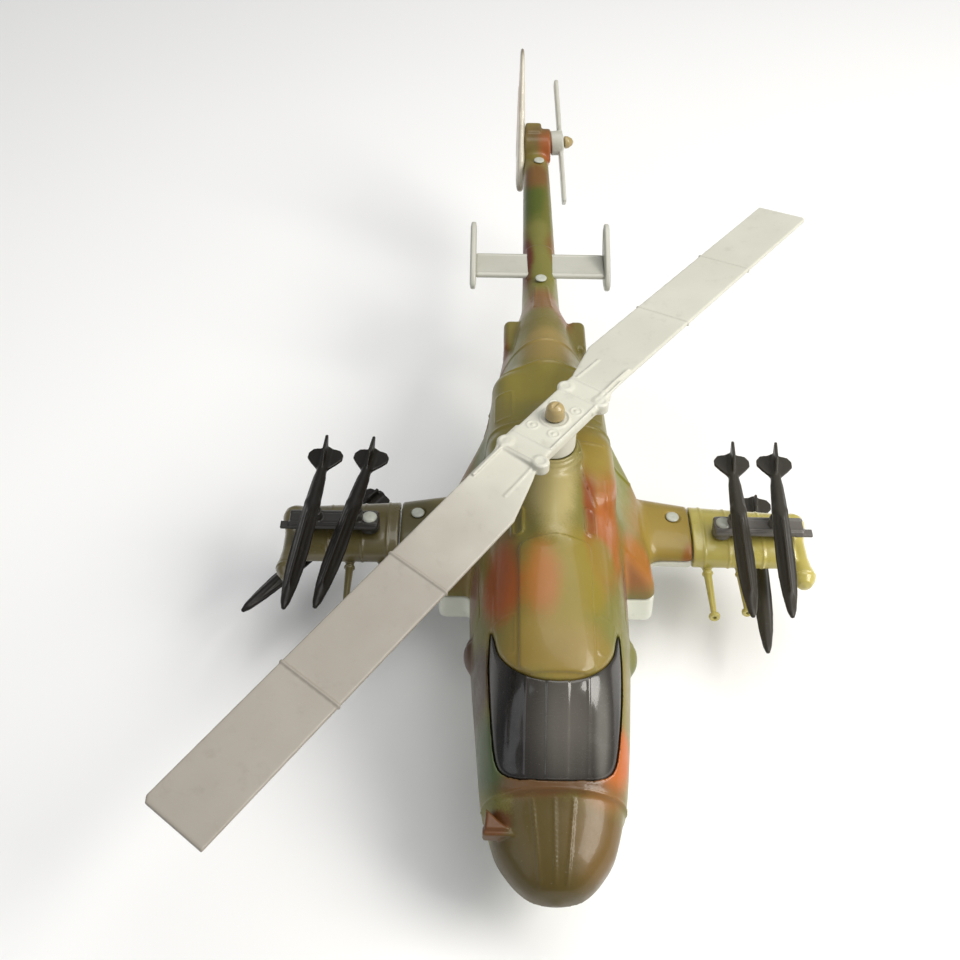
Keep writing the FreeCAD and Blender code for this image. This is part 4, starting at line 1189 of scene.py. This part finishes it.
camo = camouflage_paint()
belly_white = plastic(Recipe("belly_white"), (0.71, 0.72, 0.63), 0.32, 0.3, wear=0.5)
rotor_white = rotor_plastic()
tail_white = plastic(Recipe("tail_white"), (0.465, 0.465, 0.405), 0.38, 0.2)
fin_white = fin_paint()
glass_black = smoked_glass()
knob_olive = plastic(Recipe("knob_olive"), (0.37, 0.28, 0.118), 0.34, 0.3)
pod_olive = pod_plastic()
charcoal = charcoal_plastic()
rack_grey = rack_plastic()
peg_white = plastic(Recipe("peg_plastic"), (0.46, 0.48, 0.42), 0.35, 0.2, wear=0.4)
tyre_black = plastic(Recipe("tyre_black"), (0.022, 0.021, 0.020), 0.55, 0.0, grain=0.4, tone=0.2, wear=0.5)
axle_metal = steel()


# ---- build ----
no_turn = np.eye(3)
mirror_x = np.diag([-1.0, 1.0, 1.0])


def turn_about(axis, angle):
    return np.array(Matrix.Rotation(angle, 3, axis))


def at(x, y, z, turn=no_turn):
    return turn, np.array([x, y, z], float)


whole = whole_body()
show("painted_shell", "upper_fuselage", upper_shell(whole), camo)
show("belly_shell", "lower_fuselage", lower_shell(whole), belly_white)
show("canopy", "windscreen", windscreen(), glass_black)

rotor_turn = turn_about("Z", rotor_azimuth)
show("rotor_moulding", "main_rotor", main_rotor(), rotor_white, at(0, 0, rotor_height, rotor_turn))
show("rotor_knob", "rotor_pin", rotor_knob(), knob_olive, at(0, 0, 0, rotor_turn))

tilt = turn_about((0, 1, -1), tail_tilt)
spin = turn_about("X", tail_rotor_turn)
show("tail_rotor_moulding", "tail_rotor", tail_rotor(), tail_white, at(*tail_axis_place, tilt @ spin))
show("tail_rotor_cap", "tail_rotor_pin", tail_pin(), knob_olive, at(*tail_axis_place, tilt))
show("fin", "tail_fin", tail_fin(), fin_white)
show("stabiliser_plane", "stabiliser", stabiliser(), tail_white)

plate = end_plate()
pod = wing_outer()
sides = (("right", 1, no_turn), ("left", -1, mirror_x))
for name, side, turn in sides:
    show("plate_" + name, "end_plate_" + name, plate, tail_white, at(0, 0, 0, turn))
    show("pod_" + name, "wing_" + name, pod, pod_olive, at(0, 0, 0, turn))
for (name, side, turn), pivots in zip(sides, (right_pivots, left_pivots)):
    show("crossbar_" + name, "rack_" + name, rack(pivots), rack_grey, at(0, 0, 0, turn))
cap = peg_cap(3.0, 1.4, 13, 2)
for name, side, turn in sides:
    show("crossbar_cap_" + name, "rack_pin_" + name, cap, peg_white, at(side * rack_pin_x, rack_y, rack_high))
peg = peg_cap(2.7, 0.9, 5, 1.2)
for node, place in peg_places.items():
    show("head_" + node, node, peg, peg_white, at(*place))

dart = missile()
# name, swivel point, yaw in degrees, how far back the missile sits on its peg, hung upside down
missiles = [("left_outer", (-left_pivots[0], rack_y, upper_height), -5.2, 0, False),
            ("left_inner", (-left_pivots[1], rack_y, upper_height), -10.6, 0, False),
            ("right_inner", (right_pivots[0], rack_y, upper_height), -2.1, 0, False),
            ("right_outer", (right_pivots[1], rack_y, upper_height), -4.3, 0, False),
            ("left_lower", (-lower_pivot[0], lower_pivot[1], lower_height), -37.4, 4.5, True),
            ("right_lower", (lower_pivot[0], lower_pivot[1], lower_height), -4.6, -2, True)]
for name, swivel, yaw, back, flip in missiles:
    turn = turn_about("Z", math.radians(yaw))
    place = np.array(swivel) + turn @ np.array([0.0, back, 0.0])
    if flip:
        turn = turn @ turn_about("Y", math.pi)
    show("dart_" + name, "missile_" + name, dart, charcoal, at(*place, turn))

main_tyre = wheel(main_wheel_radius, 7, 22)
nose_tyre = wheel(nose_wheel_radius, 5, 16)
for name, side, turn in sides:
    place = at(side * main_wheel_x, *main_axle_place)
    show("tyre_" + name, "main_wheel_" + name, main_tyre, tyre_black, place)
show("nose_tyre", "nose_wheel", nose_tyre, tyre_black, at(0, *nose_axle_place))
show("main_axle_wire", "main_axle", axle(34.5, 0.8), axle_metal, at(0, *main_axle_place))
show("nose_axle_wire", "nose_axle", axle(5.5, 0.7), axle_metal, at(0, *nose_axle_place))


# ---- studio ----
def pale_material(name, colour, rough):
    recipe = Recipe(name)
    darker = tuple(c * 0.985 for c in colour)
    recipe.set("Base Color", recipe.mixed(recipe.ranged(recipe.noise(3, 2), 0.3, 0.7), darker, colour))
    recipe.set("Roughness", rough)
    return recipe.material


def floor():
    """Pale floor that the wheels stand on."""
    mesh = bpy.data.meshes.new("floor")
    reach = 4.0
    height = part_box("main_wheel_right")[0][2]
    corners = [(x * reach, y * reach, height) for x, y in ((-1, -1), (1, -1), (1, 1), (-1, 1))]
    mesh.from_pydata(corners, [], [(0, 1, 2, 3)])
    plane = bpy.data.objects.new("floor", mesh)
    mesh.materials.append(pale_material("pale_floor", (0.86, 0.86, 0.86), 0.9))
    bpy.context.scene.collection.objects.link(plane)


def area_light(name, place, size, power, colour):
    """Soft light aimed at the middle of the toy."""
    data = bpy.data.lights.new(name, "AREA")
    data.shape = "RECTANGLE"
    data.size, data.size_y = size
    data.energy = power
    data.color = colour
    lamp = bpy.data.objects.new(name, data)
    bpy.context.scene.collection.objects.link(lamp)
    aim = Vector((0, 0, 0.04)) - Vector(place)
    lamp.location = place
    lamp.rotation_euler = aim.to_track_quat("-Z", "Y").to_euler()


def camera():
    """The photo's view from above the nose."""
    data = bpy.data.cameras.new("camera")
    data.lens = 45.27
    data.sensor_width = 36
    data.clip_start = 0.01
    camera_object = bpy.data.objects.new("camera", data)
    bpy.context.scene.collection.objects.link(camera_object)
    place = (-0.02638, -0.32102, 0.38525)
    right = (0.99986, 0.01176, 0.01183)
    up = (-0.01668, 0.70742, 0.70660)
    back = (-0.00006, -0.70670, 0.70751)
    camera_object.matrix_world = Matrix([*zip(right, up, back, place), (0, 0, 0, 1)])
    bpy.context.scene.camera = camera_object


floor()
area_light("key", (0.85, -0.30, 0.85), (0.7, 0.6), 14, (1.0, 0.97, 0.92))
area_light("overhead", (0.25, 0.25, 1.3), (1.2, 0.9), 9, (1.0, 0.99, 0.96))
area_light("fill", (-0.75, -0.6, 0.7), (0.5, 0.9), 1.6, (0.95, 0.97, 1.0))
world = bpy.data.worlds.new("studio")
bpy.context.scene.world = world
world.use_nodes = True
world.node_tree.nodes["Background"].inputs[0].default_value = (0.95, 0.97, 1.0, 1)
world.node_tree.nodes["Background"].inputs[1].default_value = 0.32
camera()
bpy.context.scene.view_settings.view_transform = "Standard"
